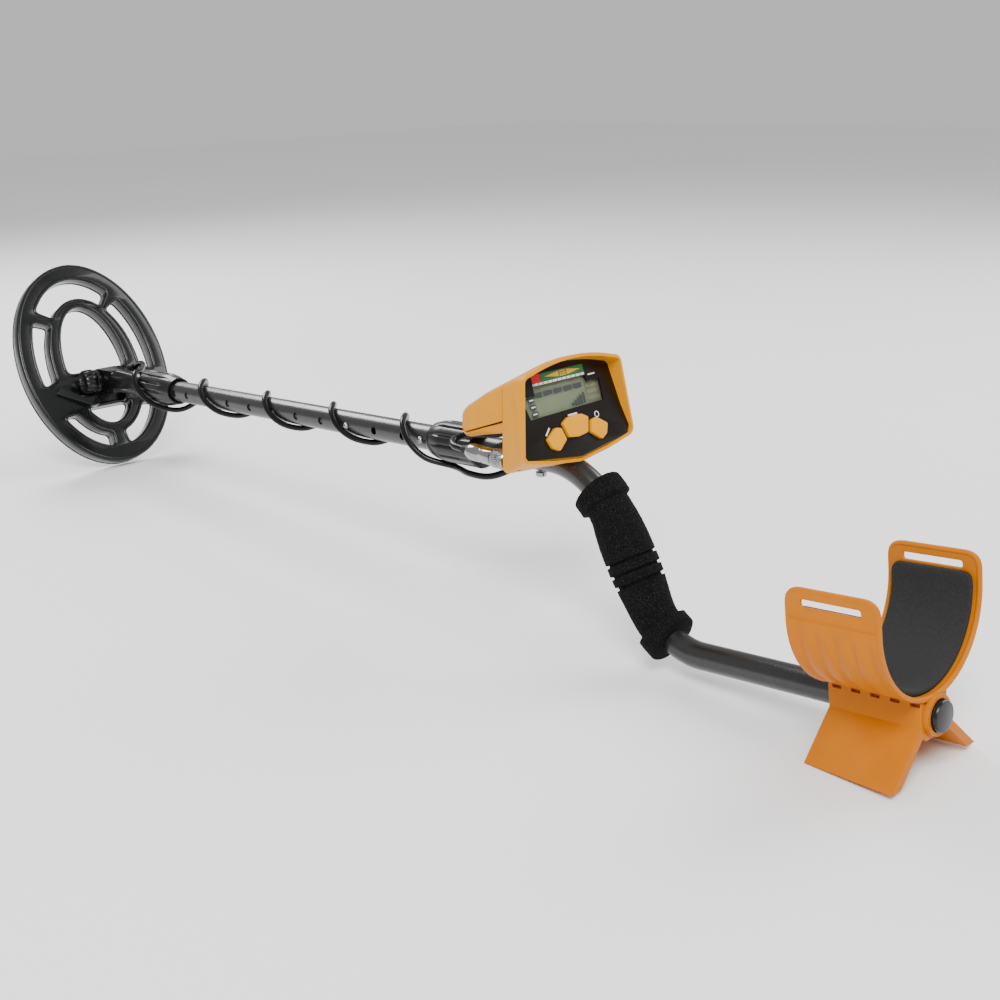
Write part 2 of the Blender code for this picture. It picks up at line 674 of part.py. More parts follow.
def cable(origin):
    route = smooth_route(cable_points(), 2)
    swept("coil_cable", route, CABLE_R, origin, "rubber", sides=8)


def connector(origin):
    """Threaded socket on the box, plug body and coupling ring on the cable's end."""
    here = (CONNECTOR_X, 0, CONNECTOR_Z)
    pipe("coil_socket", 4.6 * MM, 3.4 * MM, 283 * MM, 302 * MM, origin, "chrome", here, steps=16)
    pipe("coupling_ring", 7.2 * MM, 5.5 * MM, 293.5 * MM, 307 * MM, origin, "chrome", here, steps=20)
    plug = [(4.9, 335), (5.8, 333), (6.3, 329), (6.3, 308), (3.3, 308), (3.3, 335)]
    profile = [(r * MM, y * MM) for r, y in plug]
    turned("plug_body", profile, origin, "chrome", here, closed=True, steps=16)
    insert = [(0, 341.5), (3.4, 341.5), (4.3, 335.4), (0, 335.4)]
    turned("plug_boot", [(r * MM, y * MM) for r, y in insert], origin, "rubber", here, steps=12)


# ---------------------------------------------------------------- control box
def rounded_loop(top, bottom, z_top, z_bottom, arch, vee, radius, at_y):
    """Trapezoid with rounded corners, an arched top and a shallow V below, in X-Z."""
    corners = [((top, z_top), 1), ((bottom, z_bottom), -1)]
    right = [(0, z_top + arch), (top * 0.55, z_top + arch * 0.72)]
    (tx, tz), (bx, bz) = corners[0][0], corners[1][0]
    for angle in (80, 50, 20):
        t = math.radians(angle)
        right.append((tx - radius + radius * math.cos(t), tz - radius + radius * math.sin(t)))
    for angle in (-10, -45, -80):
        t = math.radians(angle)
        right.append((bx - radius + radius * math.cos(t), bz + radius + radius * math.sin(t)))
    right += [(bx * 0.5, bz - vee * 0.55), (0, bz - vee)]
    left = [(-x, z) for x, z in reversed(right[1:-1])]
    return [Vector((x * MM, at_y(z) * MM, z * MM)) for x, z in right + left]


def loft(name, loops, parent, colour, cap_front, closed=True):
    """Skin between rings of equal count, rear to front."""
    shape = bmesh.new()
    rings = [[shape.verts.new(p) for p in loop] for loop in loops]
    count = len(rings[0])
    spans = count if closed else count - 1
    for rear, front in zip(rings, rings[1:]):
        for i in range(spans):
            j = (i + 1) % count
            shape.faces.new((rear[i], rear[j], front[j], front[i]))
    if cap_front:
        shape.faces.new(rings[-1])
    bmesh.ops.recalc_face_normals(shape, faces=shape.faces)
    mesh = bpy.data.meshes.new(name)
    shape.to_mesh(mesh)
    shape.free()
    return place(name, mesh, parent, colour)


def rim_y(z, back=0.0):
    return 259.6 + back + (z - 146.9) * math.tan(RIM_LEAN)


def box_shell(origin):
    """Rear housing: hood, side walls and the wall behind the battery bay."""
    loops = [
        rounded_loop(50.2, 56.9, 208.2, 146.9, 6.5, 8.4, 7, rim_y),
        rounded_loop(49.2, 53.5, 206.0, 143.5, 6.4, 7.4, 7, lambda z: rim_y(z, 9)),
        rounded_loop(46.6, 48.5, 199.5, 132.5, 6.0, 3.0, 7, lambda z: 290),
    ]
    made = loft("housing", loops, origin, "yellow", True)
    flip_if_inward(made)
    shell(made, SHELL)
    cut(made, swept("housing_saddle_cut", rod_route(ROD_FRONT_S, ROD_REAR), ROD_R + 0.5 * MM, origin, None))
    for name, x in (("socket_hole", CONNECTOR_X), ("jack_hole", -CONNECTOR_X)):
        cut(made, rod(name, 4.9 * MM, 280 * MM, 296 * MM, origin, None, (x, 0, CONNECTOR_Z), steps=16))
    return made


def flip_if_inward(obj):
    """Turn an open skin so that its faces point away from its own middle."""
    mesh = obj.data
    middle = sum((v.co for v in mesh.vertices), Vector()) / len(mesh.vertices)
    score = sum((p.center - middle).dot(p.normal) * p.area for p in mesh.polygons)
    if score < 0:
        mesh.flip_normals()


def nose_loop(half_width, z_low, z_top, arch, y):
    """Open arch of the battery cover, left foot to right foot."""
    right = [(0, z_top + arch), (half_width * 0.5, z_top + arch * 0.75)]
    radius = 6
    for angle in (80, 45, 10):
        t = math.radians(angle)
        right.append((half_width - radius + radius * math.cos(t), z_top - radius + radius * math.sin(t)))
    right.append((half_width + 0.6, z_low))
    left = [(-x, z) for x, z in reversed(right[1:])]
    return [Vector((x * MM, y * MM, z * MM)) for x, z in left + right]


def tray_loop(half_width, z_low, z_seam, y):
    """Open trough of the lower nose, left edge to right edge."""
    right = [(0, z_low), (half_width - 6, z_low), (half_width - 1.4, z_low + 1.8), (half_width, z_seam)]
    left = [(-x, z) for x, z in reversed(right[1:])]
    return [Vector((x * MM, y * MM, z * MM)) for x, z in left + right]


def battery_bay(origin, stem_line):
    """Sliding cover over the nose, the trough under it, the four cells and their contacts."""
    cover_loops = [
        nose_loop(46.3, 171.8, 198.6, 5.8, 291.5),
        nose_loop(43.6, 163.3, 187.5, 5.2, 315),
        nose_loop(40.4, 155.2, 174.5, 4.6, 338),
        nose_loop(35.5, 154.8, 169.5, 4.2, 347),
    ]
    cover = loft("battery_cover", cover_loops, origin, "yellow", True, closed=False)
    flip_if_inward(cover)
    shell(cover, 2.2 * MM)
    tray_loops = [
        tray_loop(47.0, 162.0, 170.4, 290.6),
        tray_loop(44.2, 156.3, 161.9, 315),
        tray_loop(41.0, 149.8, 153.4, 338),
        tray_loop(36.0, 149.8, 153.0, 347),
    ]
    tray = loft("battery_tray", tray_loops, origin, "yellow", True, closed=False)
    flip_if_downward(tray)
    shell(tray, 2.2 * MM)
    block = box("saddle_block", (-17 * MM, 0, -24 * MM), (17 * MM, 28 * MM, 1.2 * MM), origin, None,
                rotation=(NOSE_SLOPE, 0, 0), location=(0, 290.6 * MM, 162.0 * MM))
    square = box("saddle_trim", (-60 * MM, 280 * MM, 120 * MM), (60 * MM, 290.9 * MM, 190 * MM), origin, None)
    join(tray, block)
    cut(tray, square)
    cut(tray, rod("tray_saddle_cut", ROD_R + 0.4 * MM, -300 * MM, -100 * MM, stem_line, None))
    cut(tray, rod("tray_screw_hole", 2.4 * MM, 115 * MM, 154 * MM, origin, None, SCREW_AT, "Z", 12))
    for index in range(4):
        x = (index - 1.5) * 15.0 * MM
        cell = rod(f"battery_{index + 1}", 7.1 * MM, 0, 49.5 * MM, origin, "cell",
                   (x, 294.4 * MM, 172.4 * MM), steps=14)
        cell.rotation_euler = (-math.pi / 2 + NOSE_SLOPE, 0, 0)
    box("rear_contacts", (-29 * MM, 291.2 * MM, 165.5 * MM), (29 * MM, 292 * MM, 179 * MM), origin, "steel")


def flip_if_downward(obj):
    """Turn the trough's skin so that its floor faces down, away from the cells."""
    floor = min(obj.data.polygons, key=lambda p: p.normal.z if p.center.x ** 2 < 1e-3 else 1)
    ceiling = max(obj.data.polygons, key=lambda p: p.normal.z if p.center.x ** 2 < 1e-3 else -1)
    if ceiling.normal.z > -floor.normal.z:
        obj.data.flip_normals()


FACE_LEAN = math.atan2(15.7, 48)
FACE_POINT = (0, 260.6 * MM, 150 * MM)

KEY_LEFT = ((-30.5, 10.2), (-20.5, 16.8), (-15.3, 15.5), (-12.6, 6.7), (-21.5, 0.0), (-27.4, 3.0))
KEY_CENTRE = ((-12.9, 18.4), (-7.0, 21.6), (0, 22.3), (7.0, 21.6), (12.9, 18.4), (9.5, 7.6), (0, 6.3),
              (-9.5, 7.6))
SCREEN_OPENING = ((-43.5, 42), (-31, 42), (-31, 48), (21, 48), (21, 43), (34.6, 43), (34.2, 27.6),
                  (-39.8, 26.2))
FACE_OUTLINE = ((0, -5.5), (49.5, 1.4), (51.5, 5), (45.4, 50), (42.8, 53.2), (38, 54.8), (20, 58.4), (0, 59.6),
                (-20, 58.4), (-38, 54.8), (-42.8, 53.2), (-45.4, 50), (-51.5, 5), (-49.5, 1.4))


def grown(outline, extra):
    """An outline moved outwards from its middle by about extra millimetres."""
    middle = sum((Vector(p) for p in outline), Vector((0, 0))) / len(outline)
    made = []
    for p in outline:
        away = Vector(p) - middle
        made.append(tuple(Vector(p) + away.normalized() * extra))
    return made


def layer(name, outlines, low, high, face, colour):
    """A flat piece of the control stack, low to high millimetres in front of the face."""
    outlines = [millimetres(outline) for outline in outlines]
    return plate(name, outlines, (high - low) * MM, face, colour, (0, 0, (high + low) / 2 * MM))


def rectangle(x_low, x_high, y_low, y_high):
    return [(x_low, y_low), (x_high, y_low), (x_high, y_high), (x_low, y_high)]


def controls(face):
    """Face panel, window, screen, keys, key mat, circuit board and loudspeaker."""
    key_right = [(-x, y) for x, y in reversed(KEY_LEFT)]
    keys = {"key_left": list(KEY_LEFT), "key_centre": list(KEY_CENTRE), "key_right": key_right}
    holes = [grown(outline, 0.6) for outline in keys.values()]
    layer("face_panel", [FACE_OUTLINE, SCREEN_OPENING] + holes, -1.6, 0, face, "black")
    layer("screen_window", [grown(SCREEN_OPENING, 1.5)], -2.9, -1.9, face, "screen")
    layer("screen_module", [rectangle(-43, 36, 25.2, 49.5)], -6.8, -3.2, face, "screen")
    for name, outline in keys.items():
        layer(name, [outline], -2.6, 2.4, face, "yellow")
    layer("key_mat", [rectangle(-33, 33, -2, 24)], -6.8, -4.2, face, "rubber")
    layer("circuit_board", [rectangle(-42, 42, -1, 49)], -8.8, -7.2, face, "board")
    speaker = [(0, -9.1), (11, -9.1), (11, -11), (7, -13.2), (0, -13.2)]
    turned("speaker", [(r * MM, z * MM) for r, z in speaker], face, "steel", (0, 17 * MM, 0), "Z", 16)


def jack(origin):
    here = (-CONNECTOR_X, 0, CONNECTOR_Z)
    pipe("headphone_jack", 4.6 * MM, 3.2 * MM, 284 * MM, 292.5 * MM, origin, "chrome", here, steps=16)


def saddle_screw(origin):
    """Screw that clamps the control box down on the rod, from below."""
    points = [(0, 150), (2.0, 150), (2.0, 122.2), (4.2, 122.2), (4.2, 119.8), (3.0, 118.8), (0, 118.8)]
    turned("saddle_screw", [(r * MM, z * MM) for r, z in points], origin, "steel", SCREW_AT, "Z", 12)
    return rod("rod_screw_hole", 2.4 * MM, 115 * MM, 154 * MM, origin, None, SCREW_AT, "Z", 12)


# ---------------------------------------------------------------- the whole detector
def build():
    origin = empty("detector_origin", (0, -ORIGIN_Y, 0))
    stem_line = empty("stem_line", STEM_POINT, STEM_PITCH, origin)
    rear_line = empty("rear_line", REAR_POINT, REAR_PITCH, origin)
    tilt_pin = empty("tilt_pin", on_stem(PIN_S), COIL_TILT, origin)
    face = empty("face_plane", FACE_POINT, math.pi / 2 - FACE_LEAN, origin)

    rod_body = upper_rod(origin)
    cut(rod_body, side_hole("rod_ball_hole", UPPER_BALL_S, HOLE_R, stem_line))
    cut(rod_body, saddle_screw(origin))
    grip(origin)
    rod_end_plug(rear_line)
    bolt_y = arm_rest(rear_line)
    cut(rod_body, stand(rear_line, origin, bolt_y))

    stem(stem_line)
    lower_stem(stem_line)
    spring_clip("lower_spring_clip", "lower_button", LOWER_BALL_S, 1, stem_line)
    spring_clip("upper_spring_clip", "upper_button", UPPER_BALL_S, -1, stem_line)

    coil(tilt_pin)
    tilt_hardware(tilt_pin)
    coil_gland(tilt_pin)
    cable(origin)
    connector(origin)
    box_shell(origin)
    battery_bay(origin, stem_line)
    controls(face)
    jack(origin)


clear_scene()
parts = make_collection("metal_detector")
cutters = make_collection("cutters")
build()
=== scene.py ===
"""Looks of a hobby metal detector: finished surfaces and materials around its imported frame.

Shapes are drawn in millimetres in the detector's own working frames and placed in metres.
"""

import json
import math

import bmesh
import bpy
from mathutils import Matrix, Vector, noise


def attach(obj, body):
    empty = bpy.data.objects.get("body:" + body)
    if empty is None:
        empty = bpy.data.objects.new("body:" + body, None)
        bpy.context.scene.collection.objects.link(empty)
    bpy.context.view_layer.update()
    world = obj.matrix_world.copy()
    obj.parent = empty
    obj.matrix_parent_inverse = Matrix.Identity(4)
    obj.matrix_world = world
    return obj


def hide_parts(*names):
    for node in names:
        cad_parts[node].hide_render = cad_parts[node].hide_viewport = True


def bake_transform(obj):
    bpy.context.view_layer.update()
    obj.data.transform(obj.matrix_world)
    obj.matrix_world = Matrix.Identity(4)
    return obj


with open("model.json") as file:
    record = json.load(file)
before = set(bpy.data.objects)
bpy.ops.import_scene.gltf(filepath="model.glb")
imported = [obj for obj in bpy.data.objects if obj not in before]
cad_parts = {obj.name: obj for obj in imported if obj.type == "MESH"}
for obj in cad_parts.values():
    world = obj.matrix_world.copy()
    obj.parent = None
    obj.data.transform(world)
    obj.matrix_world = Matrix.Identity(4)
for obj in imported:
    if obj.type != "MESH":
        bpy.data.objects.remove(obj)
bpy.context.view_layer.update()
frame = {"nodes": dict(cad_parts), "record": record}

MM = 0.001
ORIGIN_Y = 516.1                  # ground point under the arm cuff -> middle of the detector
STEM_PITCH = math.radians(-3.26)
REAR_PITCH = math.radians(-5.54)
FACE_LEAN = math.atan2(15.7, 48)
COIL_TILT = math.radians(63.44)
PIN_S = 480.78                    # tilt pin, along the stem
TUBE_R = 10.3
ROD_R = 9.55
COLLAR_R = 16.6
CABLE_R = 2.6
CUFF_R = 55.9
CUFF_CENTRE_H = 66.0
CUFF_TOP_H = 85.6
CONNECTOR_X = -40.0
CONNECTOR_Z = 140.6


def working_frame(point, pitch):
    """Millimetre frame at a point, turned about X, placed in the row frame."""
    return (Matrix.Scale(MM, 4) @ Matrix.Translation((0, -ORIGIN_Y, 0))
            @ Matrix.Translation(point) @ Matrix.Rotation(pitch, 4, "X"))


STEM_POINT = Vector((0, 500, 121.79))
STEM_DIRECTION = Vector((0, math.cos(STEM_PITCH), math.sin(STEM_PITCH)))
STEM_UP = Vector((0, -math.sin(STEM_PITCH), math.cos(STEM_PITCH)))


def on_stem(s, rise=0.0):
    return STEM_POINT + STEM_DIRECTION * s + STEM_UP * rise


GROUND = working_frame((0, 0, 0), 0)
STEM = working_frame(STEM_POINT, STEM_PITCH)
REAR = working_frame((0, 0, 35.34), REAR_PITCH)
PIN = working_frame(on_stem(PIN_S), COIL_TILT)
FACE = working_frame((0, 260.6, 150), math.pi / 2 - FACE_LEAN)

slot_of = {entry["node"]: entry["material_slot"] for entry in frame["record"]["subparts"]}
body_of_node = {}
for body_name, node_names in frame["record"]["behaviour"]["bodies"].items():
    for node_name in node_names:
        body_of_node[node_name] = body_name


# ---------------------------------------------------------------- materials
def surface(name, colour, rough, metallic=0.0, shade=0.12, shade_scale=60.0, grain=900.0,
            grain_depth=0.12, coat=0.0, speck=None, alpha=1.0, stretch=(1, 1, 1),
            specular=0.25):
    """Moulded, painted or woven finish: slow colour drift, fine grain and uneven gloss."""
    made = bpy.data.materials.new(name)
    made.use_nodes = True
    nodes, links = made.node_tree.nodes, made.node_tree.links
    shader = nodes["Principled BSDF"]
    shader.inputs["Metallic"].default_value = metallic
    shader.inputs["Coat Weight"].default_value = coat
    shader.inputs["Coat Roughness"].default_value = 0.12
    shader.inputs["Alpha"].default_value = alpha
    shader.inputs["Specular IOR Level"].default_value = specular
    place = nodes.new("ShaderNodeTexCoord")
    stretched = nodes.new("ShaderNodeMapping")
    stretched.inputs["Scale"].default_value = stretch
    links.new(place.outputs["Object"], stretched.inputs["Vector"])

    drift = nodes.new("ShaderNodeTexNoise")
    drift.inputs["Scale"].default_value = shade_scale
    drift.inputs["Detail"].default_value = 4
    links.new(stretched.outputs["Vector"], drift.inputs["Vector"])
    tone = nodes.new("ShaderNodeValToRGB")
    tone.color_ramp.elements[0].position = 0.3
    tone.color_ramp.elements[1].position = 0.7
    tone.color_ramp.elements[0].color = (*[c * (1 - shade) for c in colour], 1)
    tone.color_ramp.elements[1].color = (*[min(1, c * (1 + shade * 0.5)) for c in colour], 1)
    links.new(drift.outputs["Fac"], tone.inputs["Fac"])
    last_colour = tone.outputs["Color"]

    fine = nodes.new("ShaderNodeTexNoise")
    fine.inputs["Scale"].default_value = grain
    fine.inputs["Detail"].default_value = 3
    links.new(stretched.outputs["Vector"], fine.inputs["Vector"])
    if speck:
        dots = nodes.new("ShaderNodeValToRGB")
        dots.color_ramp.elements[0].position = 0.58
        dots.color_ramp.elements[1].position = 0.66
        mixed = nodes.new("ShaderNodeMix")
        mixed.data_type = "RGBA"
        links.new(fine.outputs["Fac"], dots.inputs["Fac"])
        links.new(dots.outputs["Color"], mixed.inputs["Factor"])
        links.new(last_colour, mixed.inputs["A"])
        mixed.inputs["B"].default_value = (*speck, 1)
        last_colour = mixed.outputs["Result"]
    links.new(last_colour, shader.inputs["Base Color"])

    gloss = nodes.new("ShaderNodeMapRange")
    gloss.inputs["To Min"].default_value = max(0.02, rough * 0.85)
    gloss.inputs["To Max"].default_value = min(1, rough * 1.15)
    links.new(drift.outputs["Fac"], gloss.inputs["Value"])
    links.new(gloss.outputs["Result"], shader.inputs["Roughness"])

    relief = nodes.new("ShaderNodeBump")
    relief.inputs["Strength"].default_value = grain_depth
    relief.inputs["Distance"].default_value = 0.0003
    links.new(fine.outputs["Fac"], relief.inputs["Height"])
    links.new(relief.outputs["Normal"], shader.inputs["Normal"])
    return made


FINISHES = {
    "orange_plastic": surface("orange_moulding", (0.50, 0.145, 0.0), 0.42,
                              grain=1400, shade=0.05, specular=0.12),
    "yellow_plastic": surface("yellow_moulding", (0.68, 0.27, 0.0), 0.4,
                              grain=1400, shade=0.05, specular=0.12),
    "key_plastic": surface("key_moulding", (0.76, 0.32, 0.0), 0.34, grain=1500, shade=0.04, specular=0.12),
    "black_plastic": surface("black_moulding", (0.004, 0.004, 0.005), 0.32, grain=1200, coat=0.2),
    "panel": surface("printed_panel", (0.006, 0.004, 0.003), 0.3, grain=1800, grain_depth=0.05),
    "coil_plastic": surface("coil_moulding", (0.003, 0.0035, 0.004), 0.27,
                            grain=1100, grain_depth=0.1, coat=0.35),
    "tube_paint": surface("tube_coating", (0.012, 0.012, 0.012), 0.27, grain=1600, specular=0.6),
    "stem_plastic": surface("stem_moulding", (0.004, 0.004, 0.005), 0.3, grain=1200, coat=0.2),
    "foam": surface("grip_foam", (0.004, 0.004, 0.004), 0.95, shade=0.35, shade_scale=700,
                    grain=1500, grain_depth=0.9, speck=(0.03, 0.03, 0.03), specular=0.08),
    "pad": surface("pad_foam", (0.022, 0.022, 0.022), 0.92, shade=0.2, shade_scale=500,
                   grain=1900, grain_depth=0.6, speck=(0.032, 0.032, 0.034)),
    "rubber": surface("black_rubber", (0.006, 0.006, 0.006), 0.6, grain=1300),
    "cable": surface("cable_jacket", (0.003, 0.003, 0.003), 0.25, grain=1600, grain_depth=0.06),
    "chrome": surface("polished_chrome", (0.34, 0.34, 0.35), 0.18, metallic=1, grain_depth=0.03),
    "steel": surface("plated_steel", (0.32, 0.32, 0.33), 0.3, metallic=1, stretch=(1, 8, 1)),
    "copper": surface("enamelled_wire", (0.55, 0.2, 0.07), 0.3, metallic=1, stretch=(1, 1, 9)),
    "circuit": surface("circuit_laminate", (0.02, 0.13, 0.05), 0.4, shade=0.3),
    "lens": surface("clear_window", (0.05, 0.06, 0.04), 0.06, grain_depth=0.01, alpha=0.12),
    "screen": surface("display_grey", (0.235, 0.285, 0.18), 0.3, grain_depth=0.03, shade=0.08),
    "cell": surface("cell_wrap", (0.1, 0.1, 0.12), 0.35, metallic=0.4),
}
PRINTS = {
    "print_white": surface("white_print", (0.75, 0.75, 0.72), 0.4, shade=0.04, grain_depth=0.02),
    "print_red": surface("red_print", (0.55, 0.02, 0.015), 0.4, shade=0.05, grain_depth=0.02),
    "print_maroon": surface("maroon_print", (0.13, 0.008, 0.006), 0.4, shade=0.05, grain_depth=0.02),
    "print_green": surface("green_print", (0.02, 0.16, 0.05), 0.4, shade=0.08, grain_depth=0.02),
    "print_gold": surface("gold_print", (0.75, 0.42, 0.03), 0.4, shade=0.05, grain_depth=0.02),
    "print_dark": surface("display_segment", (0.045, 0.05, 0.055), 0.4, shade=0.05, grain_depth=0.02),
}


# ---------------------------------------------------------------- making pieces
def meshed(curve):
    """A curve's finished mesh as a bmesh, welded; the curve is removed."""
    guide = bpy.data.objects.new("guide", curve)
    bpy.context.scene.collection.objects.link(guide)
    bpy.context.view_layer.update()
    graph = bpy.context.evaluated_depsgraph_get()
    mesh = bpy.data.meshes.new_from_object(guide.evaluated_get(graph))
    bpy.data.objects.remove(guide, do_unlink=True)
    made = bmesh.new()
    made.from_mesh(mesh)
    bpy.data.meshes.remove(mesh)
    bmesh.ops.remove_doubles(made, verts=made.verts, dist=0.001)
    return made


def flat(outlines, low, high, edge=0.0):
    """A plate with holes between two heights, its edges rounded by edge millimetres."""
    curve = bpy.data.curves.new("outline", "CURVE")
    curve.dimensions = "2D"
    curve.fill_mode = "BOTH"
    curve.extrude = (high - low) / 2 - edge
    curve.bevel_depth = edge
    curve.bevel_resolution = 2
    curve.offset = -edge
    for outline in outlines:
        spline = curve.splines.new("POLY")
        spline.points.add(len(outline) - 1)
        for point, (x, y) in zip(spline.points, outline):
            point.co = (x, y, 0, 1)
        spline.use_cyclic_u = True
    made = meshed(curve)
    bmesh.ops.translate(made, verts=made.verts, vec=(0, 0, (high + low) / 2))
    return made


def bar(route, radius, sides=24, loop=False, radii=None):
    """A round bar along a list of points."""
    curve = bpy.data.curves.new("route", "CURVE")
    curve.dimensions = "3D"
    spline = curve.splines.new("POLY")
    spline.points.add(len(route) - 1)
    for index, point in enumerate(route):
        spline.points[index].co = (*point, 1)
        spline.points[index].radius = radii[index] / radius if radii else 1.0
    spline.use_cyclic_u = loop
    curve.bevel_depth = radius
    curve.bevel_resolution = sides // 2 - 2
    curve.use_fill_caps = not loop
    return meshed(curve)


def turned(profile, steps=64, axis="Y", closed=False):
    """A profile of (radius, height) spun into a solid about an axis."""
    made = bmesh.new()
    verts = [made.verts.new((radius, 0, height)) for radius, height in profile]
    pairs = list(zip(verts, verts[1:]))
    if closed:
        pairs.append((verts[-1], verts[0]))
    edges = [made.edges.new(pair) for pair in pairs]
    bmesh.ops.spin(made, geom=verts + edges, cent=(0, 0, 0), axis=(0, 0, 1), angle=2 * math.pi,
                   steps=steps, use_merge=True)
    bmesh.ops.remove_doubles(made, verts=made.verts, dist=0.001)
    turn = {"Z": Matrix(), "Y": Matrix.Rotation(-math.pi / 2, 4, "X"),
            "X": Matrix.Rotation(math.pi / 2, 4, "Y")}[axis]
    bmesh.ops.transform(made, matrix=turn, verts=made.verts)
    return made


def block(low, high, edge=0.0, turn=Matrix()):
    """A box with rounded edges."""
    made = bmesh.new()
    bmesh.ops.create_cube(made, size=1)
    low, high = Vector(low), Vector(high)
    bmesh.ops.scale(made, vec=high - low, verts=made.verts)
    bmesh.ops.translate(made, vec=(high + low) / 2, verts=made.verts)
    if edge:
        bmesh.ops.bevel(made, geom=made.edges[:], offset=edge, affect="EDGES", segments=3,
                        profile=0.5, material=-1)
    bmesh.ops.transform(made, matrix=turn, verts=made.verts)
    return made


def lofted(loops, closed=True):
    """Skin between rings, with the last ring capped."""
    made = bmesh.new()
    rings = []
    for loop in loops:
        verts = [made.verts.new(p) for p in loop]
        pairs = list(zip(verts, verts[1:])) + ([(verts[-1], verts[0])] if closed else [])
        rings.append([made.edges.new(pair) for pair in pairs])
    cap = [v for edge in rings[-1] for v in edge.verts]
    for rear, front in zip(rings, rings[1:]):
        bmesh.ops.bridge_loops(made, edges=rear + front)
    bmesh.ops.contextual_create(made, geom=list(dict.fromkeys(cap)))
    bmesh.ops.recalc_face_normals(made, faces=made.faces)
    return made


def together(*shapes):
    """Several shapes as one piece's mesh."""
    made = bmesh.new()
    for shape in shapes:
        mesh = bpy.data.meshes.new("part")
        shape.to_mesh(mesh)
        shape.free()
        made.from_mesh(mesh)
        bpy.data.meshes.remove(mesh)
    return made


def as_object(shape, name):
    mesh = bpy.data.meshes.new(name)
    shape.to_mesh(mesh)
    shape.free()
    made = bpy.data.objects.new(name, mesh)
    bpy.context.scene.collection.objects.link(made)
    return made


def baked(obj):
    """An object's modifiers made real, as a bmesh; the object is removed."""
    bpy.context.view_layer.update()
    graph = bpy.context.evaluated_depsgraph_get()
    mesh = bpy.data.meshes.new_from_object(obj.evaluated_get(graph))
    bpy.data.objects.remove(obj, do_unlink=True)
    made = bmesh.new()
    made.from_mesh(mesh)
    bpy.data.meshes.remove(mesh)
    return made


def carved(shape, *cutters):
    """A shape with others cut out of it."""
    body = as_object(shape, "body")
    tools = [as_object(cutter, "tool") for cutter in cutters]
    for tool in tools:
        modifier = body.modifiers.new("cut", "BOOLEAN")
        modifier.operation = "DIFFERENCE"
        modifier.solver = "EXACT"
        modifier.object = tool
    made = baked(body)
    for tool in tools:
        bpy.data.objects.remove(tool, do_unlink=True)
    return made


def walled(shape, thickness):
    """An open skin with its wall on the inside."""
    skin = as_object(shape, "skin")
    wall = skin.modifiers.new("wall", "SOLIDIFY")
    wall.thickness = thickness
    wall.offset = -1
    wall.use_even_offset = True
    return baked(skin)


def piece(name, shape, place, material, body=None, node=None, sharp=35, edge=0.0, right_way=True,
          between=None):
    """Place a finished shape on its body, standing for a CAD node when one is named.

    between, when given, leaves the piece on no body with its placement baked in; the two bodies and two
    points it holds are not used.
    """
    bmesh.ops.transform(shape, matrix=place, verts=shape.verts)
    bmesh.ops.remove_doubles(shape, verts=shape.verts, dist=0.000002)
    if right_way:
        bmesh.ops.recalc_face_normals(shape, faces=shape.faces)
    made = as_object(shape, name)
    made.data.materials.clear()
    made.data.materials.append({**FINISHES, **PRINTS}[material])
    for polygon in made.data.polygons:
        polygon.material_index = 0
    made.data.shade_smooth()
    made.data.set_sharp_from_angle(angle=math.radians(sharp))
    if edge:
        rounding = made.modifiers.new("rounded_edges", "BEVEL")
        rounding.width = edge * MM
        rounding.segments = 3
        rounding.limit_method = "ANGLE"
        rounding.angle_limit = math.radians(40)
        rounding.harden_normals = True
    if between:
        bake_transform(made)
    else:
        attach(made, body or body_of_node[node])
    if node:
        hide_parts(node)
    return made


def refined(node):
    """A CAD node's own shape, merged and smoothed."""
    shape = bmesh.new()
    shape.from_mesh(frame["nodes"][node].data)
    bmesh.ops.remove_doubles(shape, verts=shape.verts, dist=0.00001)
    bmesh.ops.dissolve_limit(shape, angle_limit=math.radians(0.5), verts=shape.verts,
                             edges=shape.edges)
    return piece(node + "_finished", shape, Matrix(), slot_of[node], node=node, right_way=False)


def arc(centre, radius, start, end, count):
    """Points of an arc, in degrees."""
    angles = [math.radians(start + (end - start) * i / (count - 1)) for i in range(count)]
    return [(centre[0] + radius * math.cos(t), centre[1] + radius * math.sin(t)) for t in angles]


# ---------------------------------------------------------------- search coil
COIL_CENTRE = Matrix.Translation((0, 23.98, -22.5))
WINDOWS = ((-47, 37, -40, 33), (-101, -55.5, -96, -48), (46, 101, 39, 96),
           (-172, -125, -171, -130), (125, 172, 130, 171))


def ellipse(half_long, half_short, shift, start, end, count):
    """Points of an ellipse; degrees from the coil's nose towards +X."""
    angles = [math.radians(start + (end - start) * i / (count - 1)) for i in range(count)]
    return [(half_short * math.sin(t), shift + half_long * math.cos(t)) for t in angles]


def walk(outline, start, step, distance):
    """A point that far along a closed outline from one of its corners, and the next corner's index."""
    here, left, index = Vector(outline[start]), distance, start
    while True:
        index = (index + step) % len(outline)
        there = Vector(outline[index])
        gap = (there - here).length
        if gap >= left:
            return here.lerp(there, left / gap), index
        left -= gap
        here = there


SHARP_TURN = math.radians(35)     # a corner that turns further than this is rounded


